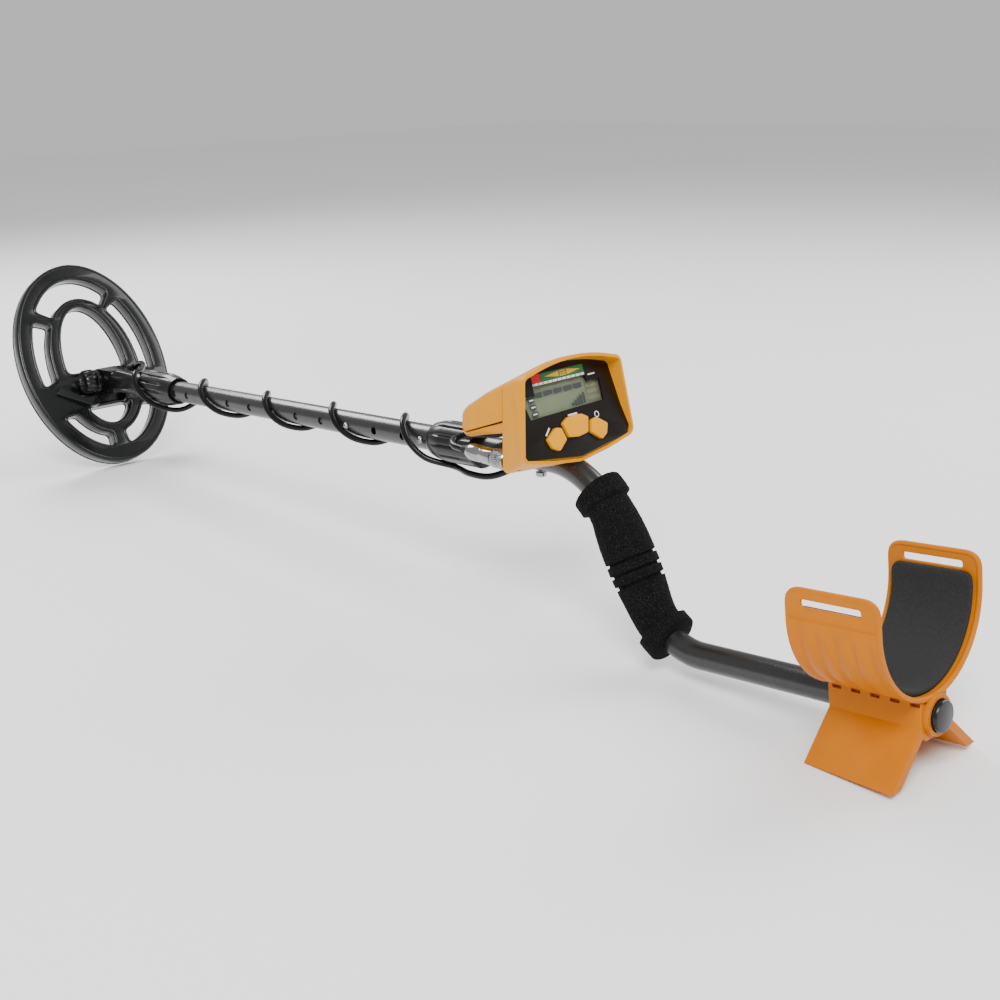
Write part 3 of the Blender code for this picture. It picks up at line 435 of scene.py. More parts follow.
def softened(outline, radius=2.0):
    """A closed outline whose sharp corners are rounded off."""
    count, made, skip = len(outline), [], set()
    rounds = {}
    for i in range(count):
        before = Vector(outline[i]) - Vector(outline[i - 1])
        after = Vector(outline[(i + 1) % count]) - Vector(outline[i])
        if before.length < 1e-6 or after.length < 1e-6 or before.angle(after) < SHARP_TURN:
            continue
        corner = Vector(outline[i])
        first, kept_before = walk(outline, i, -1, radius)
        last, kept_after = walk(outline, i, 1, radius)
        rounds[i] = [first * (1 - t) ** 2 + corner * 2 * t * (1 - t) + last * t * t
                     for t in [k / 7 for k in range(8)]]
        k = (kept_before + 1) % count
        while k != kept_after:
            skip.add(k)
            k = (k + 1) % count
    for i in range(count):
        if i in rounds:
            made += [tuple(p) for p in rounds[i]]
        elif i not in skip:
            made.append(tuple(outline[i]))
    return made


def moved_out(outline, distance):
    """A closed outline moved sideways, away from its inside."""
    area = sum(a[0] * b[1] - b[0] * a[1] for a, b in zip(outline, outline[1:] + outline[:1]))
    side = distance if area > 0 else -distance
    made = []
    for i, (x, y) in enumerate(outline):
        along = Vector(outline[(i + 1) % len(outline)]) - Vector(outline[i - 1])
        along.normalize()
        made.append((x + along.y * side, y - along.x * side))
    return made


def coil_openings():
    made = []
    for outer_start, outer_end, inner_start, inner_end in WINDOWS:
        outer = ellipse(96.5, 65.5, 0, outer_start, outer_end, 27)
        made.append(softened(outer + ellipse(78, 50, -4, inner_end, inner_start, 27), 4.5))
    made.append(softened(ellipse(67, 35, -3, -95, 95, 45), 7))
    made.append(softened(ellipse(67, 35, -3, 134, 226, 25), 6))
    return made


def search_coil():
    openings = coil_openings()
    rim = ellipse(114.3, 82.6, 0, 0, 360, 145)[:-1]
    piece("coil_shell_moulding", flat([rim] + openings, -5.1, 8, 1.6), PIN @ COIL_CENTRE,
          "coil_plastic", node="coil_shell")
    piece("coil_cover_moulding", flat([rim] + openings, -8, -5.4, 0.8), PIN @ COIL_CENTRE,
          "coil_plastic", node="coil_cover")
    lips = [bar([(x, y, 7.2) for x, y in moved_out(outline, 1.9)], 2.0, 12, loop=True)
            for outline in openings]
    outer_lip = ellipse(111.8, 80.1, 0, 0, 360, 145)[:-1]
    lips.append(bar([(x, y, 6.3) for x, y in outer_lip], 2.4, 12, loop=True))
    piece("coil_lips", together(*lips), PIN @ COIL_CENTRE, "coil_plastic", body="coil")
    ears = []
    pin_hole = turned([(0, 20), (4.3, 20), (4.3, -20), (0, -20)], 32, "X")
    for side in (-1, 1):
        low, high = sorted((side * 11.2, side * 16.4))
        round_end = turned([(0, high), (10.7, high), (11.5, high - 0.8), (11.5, low + 0.8),
                            (10.7, low), (0, low)], 48, "X")
        foot = block((low, -12, -15.5), (high, 12, 0), 0.8)
        hole = pin_hole.copy()
        ears += [carved(round_end, hole), foot]
        brace = [(15.5, -26), (24, -25), (57, -4), (50, 2), (33, -11), (15.5, -13.5)]
        wing = flat([softened([(side * x, y) for x, y in brace], 2.5)], -15.5, -8.5, 1.1)
        for vert in wing.verts:
            reach = min(1, max(0, (abs(vert.co.x) - 15.5) / 41.5))
            vert.co.z = -15.5 + (vert.co.z + 15.5) * (1.75 - 1.0 * reach)
        ears.append(wing)
    pin_hole.free()
    piece("coil_fork", together(*ears), PIN, "coil_plastic", body="coil")


def tilt_knob():
    profile = [(4.3, -29.8), (9.0, -29.8), (11.6, -29), (12.8, -27), (13, -22), (12.6, -18.2),
               (12, -17.2), (4.3, -17.2)]
    shape = turned(list(reversed(profile)), 100, "X", closed=True)
    for vert in shape.verts:
        reach = math.hypot(vert.co.y, vert.co.z)
        if reach > 8:
            turn = math.atan2(vert.co.z, vert.co.y)
            vert.co.yz = vert.co.yz * (1 - 0.09 * max(0, math.cos(10 * turn)) ** 2)
    piece("hand_knob_ribbed", shape, PIN, "black_plastic", node="hand_knob")


# ---------------------------------------------------------------- stem
HOLES = [28.34 + 38.1 * (7 - n) for n in range(10)] + [319, -71.5]


def twist_collar(node, low, high, taper_low):
    """Ribbed sleeve: broad flats between narrow grooves, smooth and tapered at one end."""
    run = [(COLLAR_R - 1.2, 0), (COLLAR_R, 1.2), (COLLAR_R, 15)]
    run += [(COLLAR_R, 15 + 2 * i) for i in range(1, 14)]
    run += [(15.4, 49), (14.0, 55), (13.4, high - low)]
    ends = [(r, high - d) if taper_low else (r, low + d) for r, d in run]
    outside = ends if taper_low else list(reversed(ends))
    shape = turned(outside + [(11.8, low), (11.8, high)], 144, closed=True)
    for vert in shape.verts:
        reach = math.hypot(vert.co.x, vert.co.z)
        along = (high - vert.co.y) if taper_low else (vert.co.y - low)
        if reach > 15.2 and 2 < along < 46:
            turn = math.atan2(vert.co.z, vert.co.x)
            groove = max(0, math.cos(12 * turn)) ** 3
            scale = 1 - 0.09 * groove
            vert.co.x *= scale
            vert.co.z *= scale
    piece(node + "_ribbed", shape, STEM, "black_plastic", node=node)


def straight_tubes():
    tube = turned([(TUBE_R, 372), (TUBE_R, -128), (9.75, -128), (9.75, 372)], 64, closed=True)
    drills = []
    for s in HOLES:
        drill = turned([(0, -5), (3.3, -5), (3.3, -14), (0, -14)], 24, "X")
        bmesh.ops.translate(drill, verts=drill.verts, vec=(0, s, 0))
        drills.append(drill)
    piece("middle_tube_drilled", carved(tube, together(*drills)), STEM, "tube_paint", node="middle_tube")
    twist_collar("lower_collar", 326, 385, True)
    twist_collar("upper_collar", -138, -82, False)
    ball = [(0, 13.1)] + [(2.9 * math.sin(t), 10.2 + 2.9 * math.cos(t)) for t in
                          [math.pi / 2 * i / 7 for i in range(1, 8)]] + [(2.9, 6.5), (0, 6.5)]
    for node, s in (("lower_button", 28.34), ("upper_button", -71.5)):
        shape = turned([(r, -h) for r, h in reversed(ball)], 32, "X")
        bmesh.ops.translate(shape, verts=shape.verts, vec=(0, s, 0))
        piece(node + "_domed", shape, STEM, "chrome", node=node)


# ---------------------------------------------------------------- bent rod and grip
def crossing(a, slope_a, b, slope_b):
    y = (b.z - a.z + slope_a * a.y - slope_b * b.y) / (slope_a - slope_b)
    return Vector((0, y, a.z + slope_a * (y - a.y)))


def bend(corner, toward_a, toward_b, radius, count):
    half = toward_a.angle(toward_b) / 2
    centre = corner + (toward_a + toward_b).normalized() * radius / math.sin(half)
    first = corner + toward_a * radius / math.tan(half) - centre
    last = corner + toward_b * radius / math.tan(half) - centre
    turn = first.rotation_difference(last)
    return [centre + Matrix.Rotation(turn.angle * i / (count - 1), 3, turn.axis) @ first
            for i in range(count)]


def rod_route(count=24):
    grip_point, grip_angle = Vector((0, 214, 80)), math.radians(60)
    rear_point = Vector((0, 0, 35.34))
    rear_dir = Vector((0, math.cos(REAR_PITCH), math.sin(REAR_PITCH)))
    grip_dir = Vector((0, math.cos(grip_angle), math.sin(grip_angle)))
    upper = crossing(STEM_POINT, math.tan(STEM_PITCH), grip_point, math.tan(grip_angle))
    lower = crossing(rear_point, math.tan(REAR_PITCH), grip_point, math.tan(grip_angle))
    route = [on_stem(-61)] + bend(upper, STEM_DIRECTION, -grip_dir, 72, count)
    return route + bend(lower, grip_dir, -rear_dir, 50, count) + [rear_point - rear_dir * 33.5]


def resample(route, count):
    lengths = [0.0]
    for a, b in zip(route, route[1:]):
        lengths.append(lengths[-1] + (b - a).length)
    made, k = [], 0
    for i in range(count):
        want = lengths[-1] * i / (count - 1)
        while k < len(route) - 2 and lengths[k + 1] < want:
            k += 1
        made.append(route[k].lerp(route[k + 1], (want - lengths[k]) / (lengths[k + 1] - lengths[k])))
    return made


GRIP_BODY = (15.8, 16.4, 17.6, 18.4, 18.7, 18.7, 18.4, 17.6, 16.6, 15.9, 15.7)
GRIP_GROOVES = (0.46, 0.53, 0.60)
FLANGE = 0.105                    # share of the sleeve that each end flange takes


def grip_radius(share):
    place = min(0.9999, max(0, (share - FLANGE) / (1 - 2 * FLANGE))) * (len(GRIP_BODY) - 1)
    low = int(place)
    radius = GRIP_BODY[low] + (GRIP_BODY[low + 1] - GRIP_BODY[low]) * (place - low)
    for groove in GRIP_GROOVES:
        if abs(share - groove) < 0.009:
            radius -= 2.2
    end = min(share, 1 - share)
    step = min(1, max(0, (FLANGE + 0.008 - end) / 0.012))
    radius += (19.5 - radius) * step
    return radius - 1.6 * max(0, 1 - end / 0.012) ** 2


def bent_rod_and_grip():
    piece("s_rod_bent", bar(rod_route(), ROD_R, 48), GROUND, "tube_paint", node="s_rod")
    fine = resample(rod_route(60), 2001)
    part = fine[int(2000 * 0.376):int(2000 * 0.606) + 1]
    route = resample(part, 241)
    radii = [grip_radius(i / 240) for i in range(241)]
    shape = bar(route, 19.6, 72, radii=radii)
    bmesh.ops.recalc_face_normals(shape, faces=shape.faces)
    shape.normal_update()
    for vert in shape.verts:
        pores = noise.noise(vert.co * 0.9) * 0.22 + noise.noise(vert.co * 2.1) * 0.14
        vert.co += vert.normal * pores
    grip = piece("foam_grip_sleeve", shape, GROUND, "foam", node="foam_grip", sharp=80)
    plug = [(0, -36.2), (8.2, -36.2), (9.6, -35.8), (10.2, -34.9), (10.2, -33.8), (7.6, -33.8),
            (7.6, -18), (0, -18)]
    piece("end_plug_turned", turned(list(reversed(plug))), REAR, "black_plastic", node="end_plug")


# ---------------------------------------------------------------- arm cuff and stand
UPRIGHT = Matrix.Rotation(math.pi / 2, 4, "X")     # drawn in X-height, thick along the rod


FLUTES = [-22 + 12.0 * i for i in range(5)]
CUFF_QUARTER = CUFF_R * math.pi / 2       # from the bottom to where the wall turns straight up
CUFF_HALF = CUFF_QUARTER + CUFF_TOP_H - CUFF_CENTRE_H


def rounded_sheet(half_length, low, high, corner):
    sheet = [(-half_length, low), (half_length, low), (half_length, high), (-half_length, high)]
    return softened(sheet, corner)


def bent_round(shape):
    """Bend a sheet drawn flat (along the U, along the rod, outwards) into the cuff's U."""
    for vert in shape.verts:
        along, y, out = vert.co
        turn = max(-math.pi / 2, min(math.pi / 2, along / CUFF_R))
        rise = max(0, abs(along) - CUFF_QUARTER)
        vert.co = ((CUFF_R + out) * math.sin(turn), y,
                   CUFF_CENTRE_H - (CUFF_R + out) * math.cos(turn) + rise)
    return shape


def sliced(shape, axis, start, end, step):
    """Cut across a flat sheet at even steps, so that it can bend."""
    normal = Vector((axis == 0, axis == 1, 0))
    place = start
    while place < end:
        bmesh.ops.bisect_plane(shape, geom=shape.verts[:] + shape.edges[:] + shape.faces[:],
                               plane_co=normal * place, plane_no=normal, dist=0.0001)
        place += step
    return shape


def arm_cuff():
    outline = rounded_sheet(CUFF_HALF, -30, 34, 11)
    slots = [softened([(s * 98.1 - 2.4, -17.9), (s * 98.1 + 2.4, -17.9), (s * 98.1 + 2.4, 23.1),
                       (s * 98.1 - 2.4, 23.1)], 2.0) for s in (-1, 1)]
    bolt_hole = [(x, y + 2.6) for x, y in arc((0, 0), 2.9, 0, 345, 24)]
    shape = flat([outline] + slots + [bolt_hole], -2.6, 0, 0.5)
    sliced(shape, 0, -105, 105.1, 2.1)
    sliced(shape, 1, -28, 32.1, 1.0)
    for vert in shape.verts:
        along = abs(vert.co.x)
        if vert.co.z > -0.6 and 24 < along < 87:
            fade = min(1, (along - 24) / 10, (87 - along) / 12)
            wave = max(math.cos(math.pi * (vert.co.y - y) / 12.0) ** 4 if abs(vert.co.y - y) < 6 else 0
                       for y in FLUTES)
            vert.co.z -= 1.25 * fade * wave
    piece("arm_cuff_fluted", bent_round(shape), REAR, "orange_plastic", node="arm_cuff", sharp=50)
    rim = [(x, y, -1.4) for x, y in moved_out(outline, -1.6)]
    dense = [Vector(a).lerp(Vector(b), k / 24) for a, b in zip(rim, rim[1:] + rim[:1])
             for k in range(24 if (Vector(a) - Vector(b)).length > 20 else 1)]
    ends = [bar([tuple(p) for p in dense], 1.7, 14, loop=True)]
    lines = [bar([(s * 88.6, -28.5, -0.05), (s * 88.6, 32.5, -0.05)], 0.45, 8) for s in (-1, 1)]
    for line in lines:
        sliced(line, 1, -28, 32.1, 4)
    piece("cuff_rim", bent_round(together(*ends, *lines)), REAR, "orange_plastic", body="frame")


def cuff_pad():
    """Foam sheet stuck inside the cuff, its arm-side face made a little uneven."""
    shape = flat([rounded_sheet(95.0, -25.5, 29.5, 7)], -6.3, -2.9, 1.3)
    hole = turned([(0, 5), (5.6, 5), (5.6, -5.5), (0, -5.5)], 32, "Z")
    bmesh.ops.translate(hole, verts=hole.verts, vec=(0, 2.6, 0))
    shape = carved(shape, hole)
    sliced(shape, 0, -90, 90.1, 1.5)
    sliced(shape, 1, -24, 28.1, 3)
    for vert in shape.verts:
        if vert.co.z < -5:
            vert.co.z += 0.12 * noise.noise(vert.co * 0.35)
    made = piece("cuff_pad_foam", bent_round(shape), REAR, "pad", node="cuff_pad", sharp=60)


NOTCH_SPREAD = 1.12               # stand notches sit a little wider than the flutes
FOOT_CORNER = 9                   # radius of each foot corner, and the height of its centre
FOOT_CORNER_H = -31.5


def cuff_stand():
    outer = []
    for x in (10.2, 12.2, 14.5):
        outer.append((x, CUFF_CENTRE_H - math.sqrt(CUFF_R ** 2 - x ** 2) - 0.35))
    outer += [(14.5, -5), (50.4, -39), (44.4, -42), (12.2, -11), (9, -14.4)]
    channel = arc((0, 0), 9.9, 0, -180, 33)
    left = [(-x, h) for x, h in reversed(outer)]
    outline = outer + left + [(-9.9, 6)] + list(reversed(channel)) + [(9.9, 6)]
    shape = flat([outline], -35.2, 28.7, 0.6)
    bmesh.ops.transform(shape, matrix=UPRIGHT, verts=shape.verts)
    pitch = math.atan2(-3.14, 63.86)
    floor = block((-80, -90, -40), (80, 90, 0), 0,
                  Matrix.Translation((0, 31.93 * math.cos(pitch) - 31.93, 1.57))
                  @ Matrix.Rotation(pitch, 4, "X"))
    to_rear = REAR.inverted() @ GROUND
    bmesh.ops.transform(floor, matrix=to_rear, verts=floor.verts)
    bolt = turned([(0, 0), (2.9, 0), (2.9, -20), (0, -20)], 24, "Z")
    bmesh.ops.translate(bolt, verts=bolt.verts, vec=(0, 2.6, 0))
    middle = sum(FLUTES) / len(FLUTES)
    notches = [block((s * 14.5 - 2.8, y - 3.3, 8.3), (s * 14.5 + 2.8, y + 3.3, 11.4), 0.5)
               for s in (-1, 1) for y in [middle + (at - middle) * NOTCH_SPREAD for at in FLUTES]]
    corners = []
    for side in (-1, 1):
        for y in (-28.7, 35.2):
            inward = 1 if y < 0 else -1
            start, end = (180, 270) if y < 0 else (0, -90)
            wedge = [(y - inward, -46), (y - inward, FOOT_CORNER_H)]
            wedge += arc((y + inward * FOOT_CORNER, FOOT_CORNER_H), FOOT_CORNER, start, end, 10)
            wedge += [(y + inward * FOOT_CORNER, -46)]
            cutter = flat([wedge], 28, 56)
            turn = Matrix(((0, 0, side, 0), (1, 0, 0, 0), (0, 1, 0, 0), (0, 0, 0, 1)))
            bmesh.ops.transform(cutter, matrix=turn, verts=cutter.verts)
            bmesh.ops.recalc_face_normals(cutter, faces=cutter.faces)
            corners.append(cutter)
    piece("cuff_stand_moulding", carved(shape, floor, bolt, *notches, *corners), REAR,
          "orange_plastic", node="cuff_stand")
    boss = turned([(12.9, -28), (13.3, -30), (12.8, -32.4), (10.4, -32.4), (10.4, -28)], 64, closed=True)
    piece("stand_boss", boss, REAR, "orange_plastic", body="frame")


# ---------------------------------------------------------------- coil cable
WRAP_TURNS = (
    (403, 15.4), (333, 20.2), (277.5, 14.4), (217.5, 13.6), (163.5, 13.6), (110, 13.6),
    (60, 13.6), (3, 13.6), (-40, 14.4), (-99, 20.4),
)
CABLE_START = ((34, 995.0, 93.7), (34, 988, 97.1), (34, 979.1, 101.6), (33, 971, 105.4),
               (28, 953, 110.5), (17, 928, 113.2))
CABLE_END = (
    (-4, 378, 106.5), (-2, 358, 107.5), (5, 344, 113), (12, 334, 122), (15.5, 328, 132.5),
    (12.5, 328, 141.5), (3, 334, 145.4), (-9, 347, 144.6), (-21, 358, 145), (-32, 361, 142.8),
    (-39, 354, 141.2), (-40, 342.2, 140.6),
)


def smooth_route(points, per_span):
    """Catmull-Rom curve through given points."""
    points = [Vector(p) for p in points]
    padded = [2 * points[0] - points[1]] + points + [2 * points[-1] - points[-2]]
    made = []
    for i in range(1, len(padded) - 2):
        p0, p1, p2, p3 = padded[i - 1:i + 3]
        for k in range(per_span):
            t = k / per_span
            made.append(0.5 * (2 * p1 + (p2 - p0) * t + (2 * p0 - 5 * p1 + 4 * p2 - p3) * t * t
                               + (3 * p1 - p0 - 3 * p2 + p3) * t ** 3))
    return made + [points[-1]]


def cable_points():
    made = [Vector(p) for p in CABLE_START]
    for half, (s, radius) in enumerate(WRAP_TURNS[:-1]):
        next_s, next_radius = WRAP_TURNS[half + 1]
        lag = 0.1 if half % 2 == 0 else 0.0
        for k in range(4):
            turn = math.pi * (half + k / 4)
            share = k / 4 - lag * math.sin(math.pi * k / 4)
            here = s + (next_s - s) * share
            reach = radius + (next_radius - radius) * share
            if 324 < here < 394:
                reach = max(reach, COLLAR_R + CABLE_R + 1.0)
            made.append(on_stem(here) + Vector((-math.sin(turn) * reach, 0, math.cos(turn) * reach)))
    made.append(on_stem(WRAP_TURNS[-1][0], -WRAP_TURNS[-1][1]))
    return made + [Vector(p) for p in CABLE_END]


def coil_cable():
    route = smooth_route(cable_points(), 8)
    meet = 8 * len(CABLE_START)       # first wrap point, on top of the lower stem
    coil_end = bar(route[:meet + 1], CABLE_R, 16)
    wound = bar(route[meet:], CABLE_R, 16)
    piece("coil_cable_tail", coil_end, GROUND, "cable", node="coil_cable",
          between=("lower_stem", "coil", GROUND @ on_stem(425), GROUND @ on_stem(PIN_S)))
    piece("coil_cable_wound", wound, GROUND, "cable", node="coil_cable",
          between=("frame", "lower_stem", GROUND @ on_stem(345), GROUND @ on_stem(402)))


def connector():
    here = GROUND @ Matrix.Translation((CONNECTOR_X, 0, CONNECTOR_Z))
    socket = [(4.6, 302), (4.6, 283), (3.4, 283), (3.4, 302)]
    piece("coil_socket_turned", turned(socket, 48, closed=True), here, "chrome", node="coil_socket")
    ring = [(6.6, 307), (7.2, 306.2), (7.2, 303), (7.2, 300), (7.2, 297), (7.2, 294.3), (6.6, 293.5),
            (5.5, 293.5), (5.5, 307)]
    shape = turned(ring, 144, closed=True)
    for vert in shape.verts:
        if math.hypot(vert.co.x, vert.co.z) > 7 and 295 < vert.co.y < 305:
            turn = math.atan2(vert.co.z, vert.co.x)
            scale = 1 - 0.045 * max(0, math.cos(36 * turn))
            vert.co.x *= scale
            vert.co.z *= scale
    piece("coupling_ring_knurled", shape, here, "chrome", node="coupling_ring")
    plug = [(4.9, 335), (5.8, 333), (6.3, 329), (6.3, 322), (5.9, 321.4), (5.9, 319), (6.3, 318.4),
            (6.3, 308), (3.3, 308), (3.3, 335)]
    piece("plug_body_turned", turned(plug, 48, closed=True), here, "chrome", node="plug_body")


# ---------------------------------------------------------------- control box
def rim_y(z, back=0.0):
    return 259.6 + back + (z - 146.9) * (7.15 / 61.3)


HOOD_CORNER = 7                   # corner radii of the control box
NOSE_CORNER = 6


def hood_loop(top, bottom, z_top, z_bottom, arch, vee, at_y):
    """Trapezoid with rounded corners, an arched top and a shallow V below."""
    right = [((top - HOOD_CORNER) * i / 9, z_top + arch * (1 - (i / 9) ** 2)) for i in range(9)]
    for angle in range(80, 5, -10):
        t = math.radians(angle)
        right.append((top - HOOD_CORNER + HOOD_CORNER * math.cos(t),
                      z_top - HOOD_CORNER + HOOD_CORNER * math.sin(t)))
    for angle in range(-8, -85, -12):
        t = math.radians(angle)
        right.append((bottom - HOOD_CORNER + HOOD_CORNER * math.cos(t),
                      z_bottom + HOOD_CORNER + HOOD_CORNER * math.sin(t)))
    right += [(bottom * 0.5, z_bottom - vee * 0.55), (0, z_bottom - vee)]
    left = [(-x, z) for x, z in reversed(right[1:-1])]
    return [Vector((x, at_y(z), z)) for x, z in right + left]


def housing():
    loops = [
        hood_loop(50.2, 56.9, 208.2, 146.9, 6.5, 8.4, rim_y),
        hood_loop(49.2, 53.5, 206.0, 143.5, 6.4, 7.4, lambda z: rim_y(z, 9)),
        hood_loop(46.6, 48.5, 199.5, 132.5, 6.0, 3.0, lambda z: 290),
    ]
    shape = walled(lofted(loops), 2.4)
    saddle = bar(rod_route(), ROD_R + 0.5, 48)
    cutters = [saddle]
    for x in (CONNECTOR_X, -CONNECTOR_X):
        hole = turned([(0, 296), (4.9, 296), (4.9, 280), (0, 280)], 32)
        bmesh.ops.translate(hole, verts=hole.verts, vec=(x, 0, CONNECTOR_Z))
        cutters.append(hole)
    piece("housing_moulding", carved(shape, *cutters), GROUND, "yellow_plastic", node="housing", edge=0.7)


def nose_loop(half_width, z_low, z_top, arch, y):
    right = [((half_width - NOSE_CORNER) * i / 7, z_top + arch * (1 - (i / 7) ** 2)) for i in range(7)]
    for angle in range(80, 5, -10):
        t = math.radians(angle)
        right.append((half_width - NOSE_CORNER + NOSE_CORNER * math.cos(t),
                      z_top - NOSE_CORNER + NOSE_CORNER * math.sin(t)))
    right.append((half_width + 0.6, z_low))
    left = [(-x, z) for x, z in reversed(right[1:])]
    return [Vector((x, y, z)) for x, z in left + right]


def battery_cover():
    loops = [
        nose_loop(46.3, 171.8, 198.6, 5.8, 291.5),
        nose_loop(43.6, 163.3, 187.5, 5.2, 315),
        nose_loop(40.4, 155.2, 174.5, 4.6, 338),
        nose_loop(35.5, 154.8, 169.5, 4.2, 347),
    ]
    piece("battery_cover_moulding", walled(lofted(loops, closed=False), 2.2), GROUND,
          "yellow_plastic", node="battery_cover", edge=0.6)


# ---------------------------------------------------------------- face, screen and keys
KEY_LEFT = ((-30.5, 10.2), (-20.5, 16.8), (-15.3, 15.5), (-12.6, 6.7), (-21.5, 0.0), (-27.4, 3.0))
KEY_CENTRE = ((-12.9, 18.4), (-7.0, 21.6), (0, 22.3), (7.0, 21.6), (12.9, 18.4), (9.5, 7.6),
              (0, 6.3), (-9.5, 7.6))
SCREEN_OPENING = ((-43.5, 42), (-31, 42), (-31, 48), (21, 48), (21, 43), (34.6, 43), (34.2, 27.6),
                  (-39.8, 26.2))
FACE_OUTLINE = ((0, -5.5), (49.5, 1.4), (51.5, 5), (45.4, 50), (42.8, 53.2), (38, 54.8),
                (20, 58.4), (0, 59.6), (-20, 58.4), (-38, 54.8), (-42.8, 53.2), (-45.4, 50),
                (-51.5, 5), (-49.5, 1.4))
KEYS = {
    "key_left": list(KEY_LEFT),
    "key_centre": list(KEY_CENTRE),
    "key_right": [(-x, y) for x, y in reversed(KEY_LEFT)],
}


def grown(outline, extra):
    middle = sum((Vector(p) for p in outline), Vector((0, 0))) / len(outline)
    return [tuple(Vector(p) + (Vector(p) - middle).normalized() * extra) for p in outline]


def rectangle(x_low, x_high, y_low, y_high):
    return [(x_low, y_low), (x_high, y_low), (x_high, y_high), (x_low, y_high)]


def frame_of(x_low, x_high, y_low, y_high, line):
    """A rectangular line drawing: outside and inside outlines."""
    return [rectangle(x_low, x_high, y_low, y_high),
            rectangle(x_low + line, x_high - line, y_low + line, y_high - line)]


def printed(name, groups, material, low, high):
    shapes = [flat(outlines, low, high) for outlines in groups]
    piece(name, together(*shapes), FACE, material, body="frame")


def face_and_keys():
    holes = [softened(grown(outline, 0.6), 1.6) for outline in KEYS.values()]
    panel = flat([moved_out(FACE_OUTLINE, 2.3), list(SCREEN_OPENING)] + holes, -1.6, 0, 0.2)
    piece("face_panel_printed", panel, FACE, "panel", node="face_panel")
    ledge = [moved_out(FACE_OUTLINE, 3.4), moved_out(FACE_OUTLINE, -2)]
    piece("panel_ledge", flat(ledge, -3.4, -1.8), FACE, "yellow_plastic", body="frame")
    for node, outline in KEYS.items():
        piece(node + "_cap", flat([softened(outline, 1.4)], -2.6, 2.4, 0.7), FACE, "key_plastic", node=node)

    glass, ink = (-1.88, -1.80), (0.02, 0.12)
    printed("scale_red", [[rectangle(-30.7, -22, 50.4, 56.2)]], "print_red", *ink)
    printed("scale_green", [[rectangle(-21.6, 20.8, 50.4, 56.2)]], "print_green", *ink)
    arrows = [[[(s * 18, 53.4), (s * 4, 51.4), (s * 4, 55.4)]] for s in (-1, 1)]
    arrows += [[rectangle(-3, 3, 51.4 + 1.5 * i, 52.3 + 1.5 * i)] for i in range(3)]
    printed("scale_gold", arrows, "print_gold", 0.13, 0.2)
    printed("scale_band", [[rectangle(-30.7, 20.8, 48.4, 50.1)]], "print_white", *ink)
    ticks = [[rectangle(-30 + 4.6 * i, -29.3 + 4.6 * i, 48.5, 49.9)] for i in range(12)]
    printed("scale_ticks", ticks, "print_dark", 0.13, 0.2)
    blocks = [[rectangle(-30.7 + 9.9 * i, -22.4 + 9.9 * i, 40.6, 43.6)] for i in range(5)]
    blocks += [[rectangle(4 + 3 * i, 6.2 + 3 * i, 28.8, 30.6 + 1.4 * i)] for i in range(5)]
    printed("display_segments", blocks, "print_dark", *glass)
    boxes = [frame_of(20.2, 34, 29.2 + 4.7 * i, 33.2 + 4.7 * i, 0.25) for i in range(3)]
    printed("display_boxes", boxes, "print_maroon", *glass)
    rows = list(enumerate((39.3, 34.3, 29.3)))
    tabs = [[rectangle(-36.6 + 0.4 * i, -30.9 + 0.4 * i, v - 1.7, v + 1.7)] for i, v in rows]
    printed("menu_tabs", tabs, "print_dark", *glass)
    labels = [[rectangle(-35.7 + 0.4 * i, -31.8 + 0.4 * i, v - 0.4, v + 0.4)] for i, v in rows]
    printed("menu_marks", labels, "print_white", -1.79, -1.72)

    bars = [[[(-30.2, 13.2), (-29.2, 12.4), (-24.4, 17.2), (-25.4, 18)]],
            [rectangle(-4.6, 4.6, 22.2, 23.4)],
            [rectangle(24, 31, 47.2, 48.2)],
            [arc((23.5, 18.4), reach, 0, 345, 24) for reach in (2.3, 1.7)]]
    printed("panel_marks", bars, "print_white", *ink)


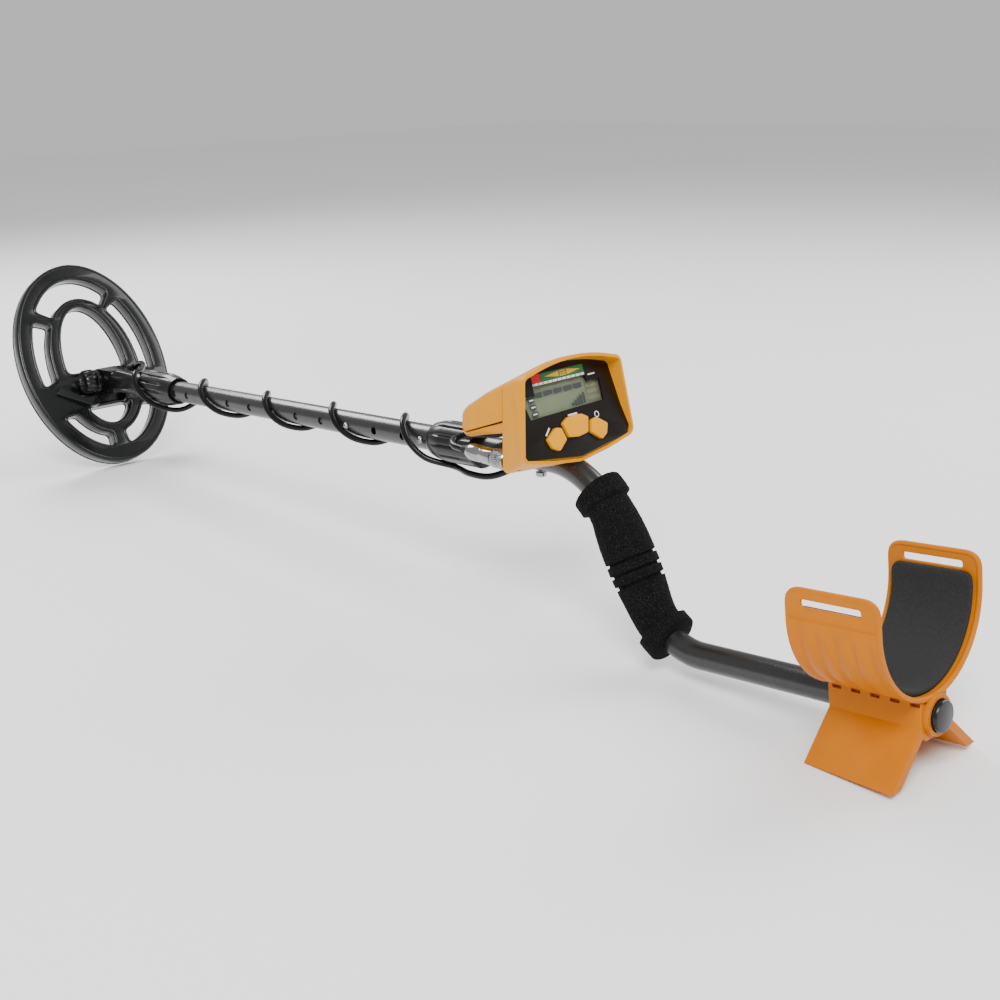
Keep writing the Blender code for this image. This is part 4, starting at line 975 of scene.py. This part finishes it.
# ---------------------------------------------------------------- room, light and camera
def studio():
    ground = bmesh.new()
    bmesh.ops.create_grid(ground, x_segments=1, y_segments=1, size=6)
    floor = as_object(ground, "floor")
    floor.location = (0, 0, -0.0005)
    floor.data.materials.append(surface("pale_floor", (0.93, 0.93, 0.93), 0.6, shade=0.01,
                                        grain_depth=0.0, shade_scale=2))
    world = bpy.data.worlds.new("studio")
    bpy.context.scene.world = world
    world.use_nodes = True
    world.node_tree.nodes["Background"].inputs["Color"].default_value = (1, 1, 1, 1)
    world.node_tree.nodes["Background"].inputs["Strength"].default_value = 0.62
    for name, place, size, power in (("key", (-1.4, -1.6, 2.2), 1.2, 95), ("fill", (1.8, -0.6, 1.4), 1.4, 34),
                                     ("back", (0.3, 1.9, 1.6), 1.0, 48)):
        light = bpy.data.lights.new(name, "AREA")
        light.size = size
        light.energy = power
        lamp = bpy.data.objects.new(name, light)
        lamp.location = place
        lamp.rotation_euler = (Vector((0, 0, 0.1)) - Vector(place)).to_track_quat("-Z", "Y").to_euler()
        bpy.context.scene.collection.objects.link(lamp)


def camera():
    yaw, pitch, roll = (math.radians(v) for v in (42.194, -17.791, -1.849))
    forward = Vector((math.sin(yaw) * math.cos(pitch), math.cos(yaw) * math.cos(pitch), math.sin(pitch)))
    right = Vector((math.cos(yaw), -math.sin(yaw), 0))
    up = right.cross(forward)
    level = right * math.cos(roll) + up * math.sin(roll)
    upright = up * math.cos(roll) - right * math.sin(roll)
    lens = bpy.data.cameras.new("camera")
    lens.lens = 49.688
    lens.sensor_width = 36
    made = bpy.data.objects.new("camera", lens)
    axes = Matrix((level, upright, -forward)).transposed().to_4x4()
    made.matrix_world = Matrix.Translation((-0.6813, -0.92015, 0.41572)) @ axes
    bpy.context.scene.collection.objects.link(made)
    bpy.context.scene.camera = made


def finish_frame_nodes():
    """Every carried-over node gets its slot's finish."""
    for node, obj in frame["nodes"].items():
        for holder in obj.material_slots:
            holder.material = FINISHES[slot_of[node]]


camera()
finish_frame_nodes()
search_coil()
tilt_knob()
straight_tubes()
bent_rod_and_grip()
arm_cuff()
cuff_pad()
cuff_stand()
coil_cable()
connector()
housing()
battery_cover()
face_and_keys()
for shown_node in ("stem_knuckle", "clevis_bolt", "battery_tray", "saddle_screw", "cuff_bolt", "cuff_nut",
                   "coil_gland", "plug_boot", "lower_stem", "headphone_jack"):
    refined(shown_node)
studio()
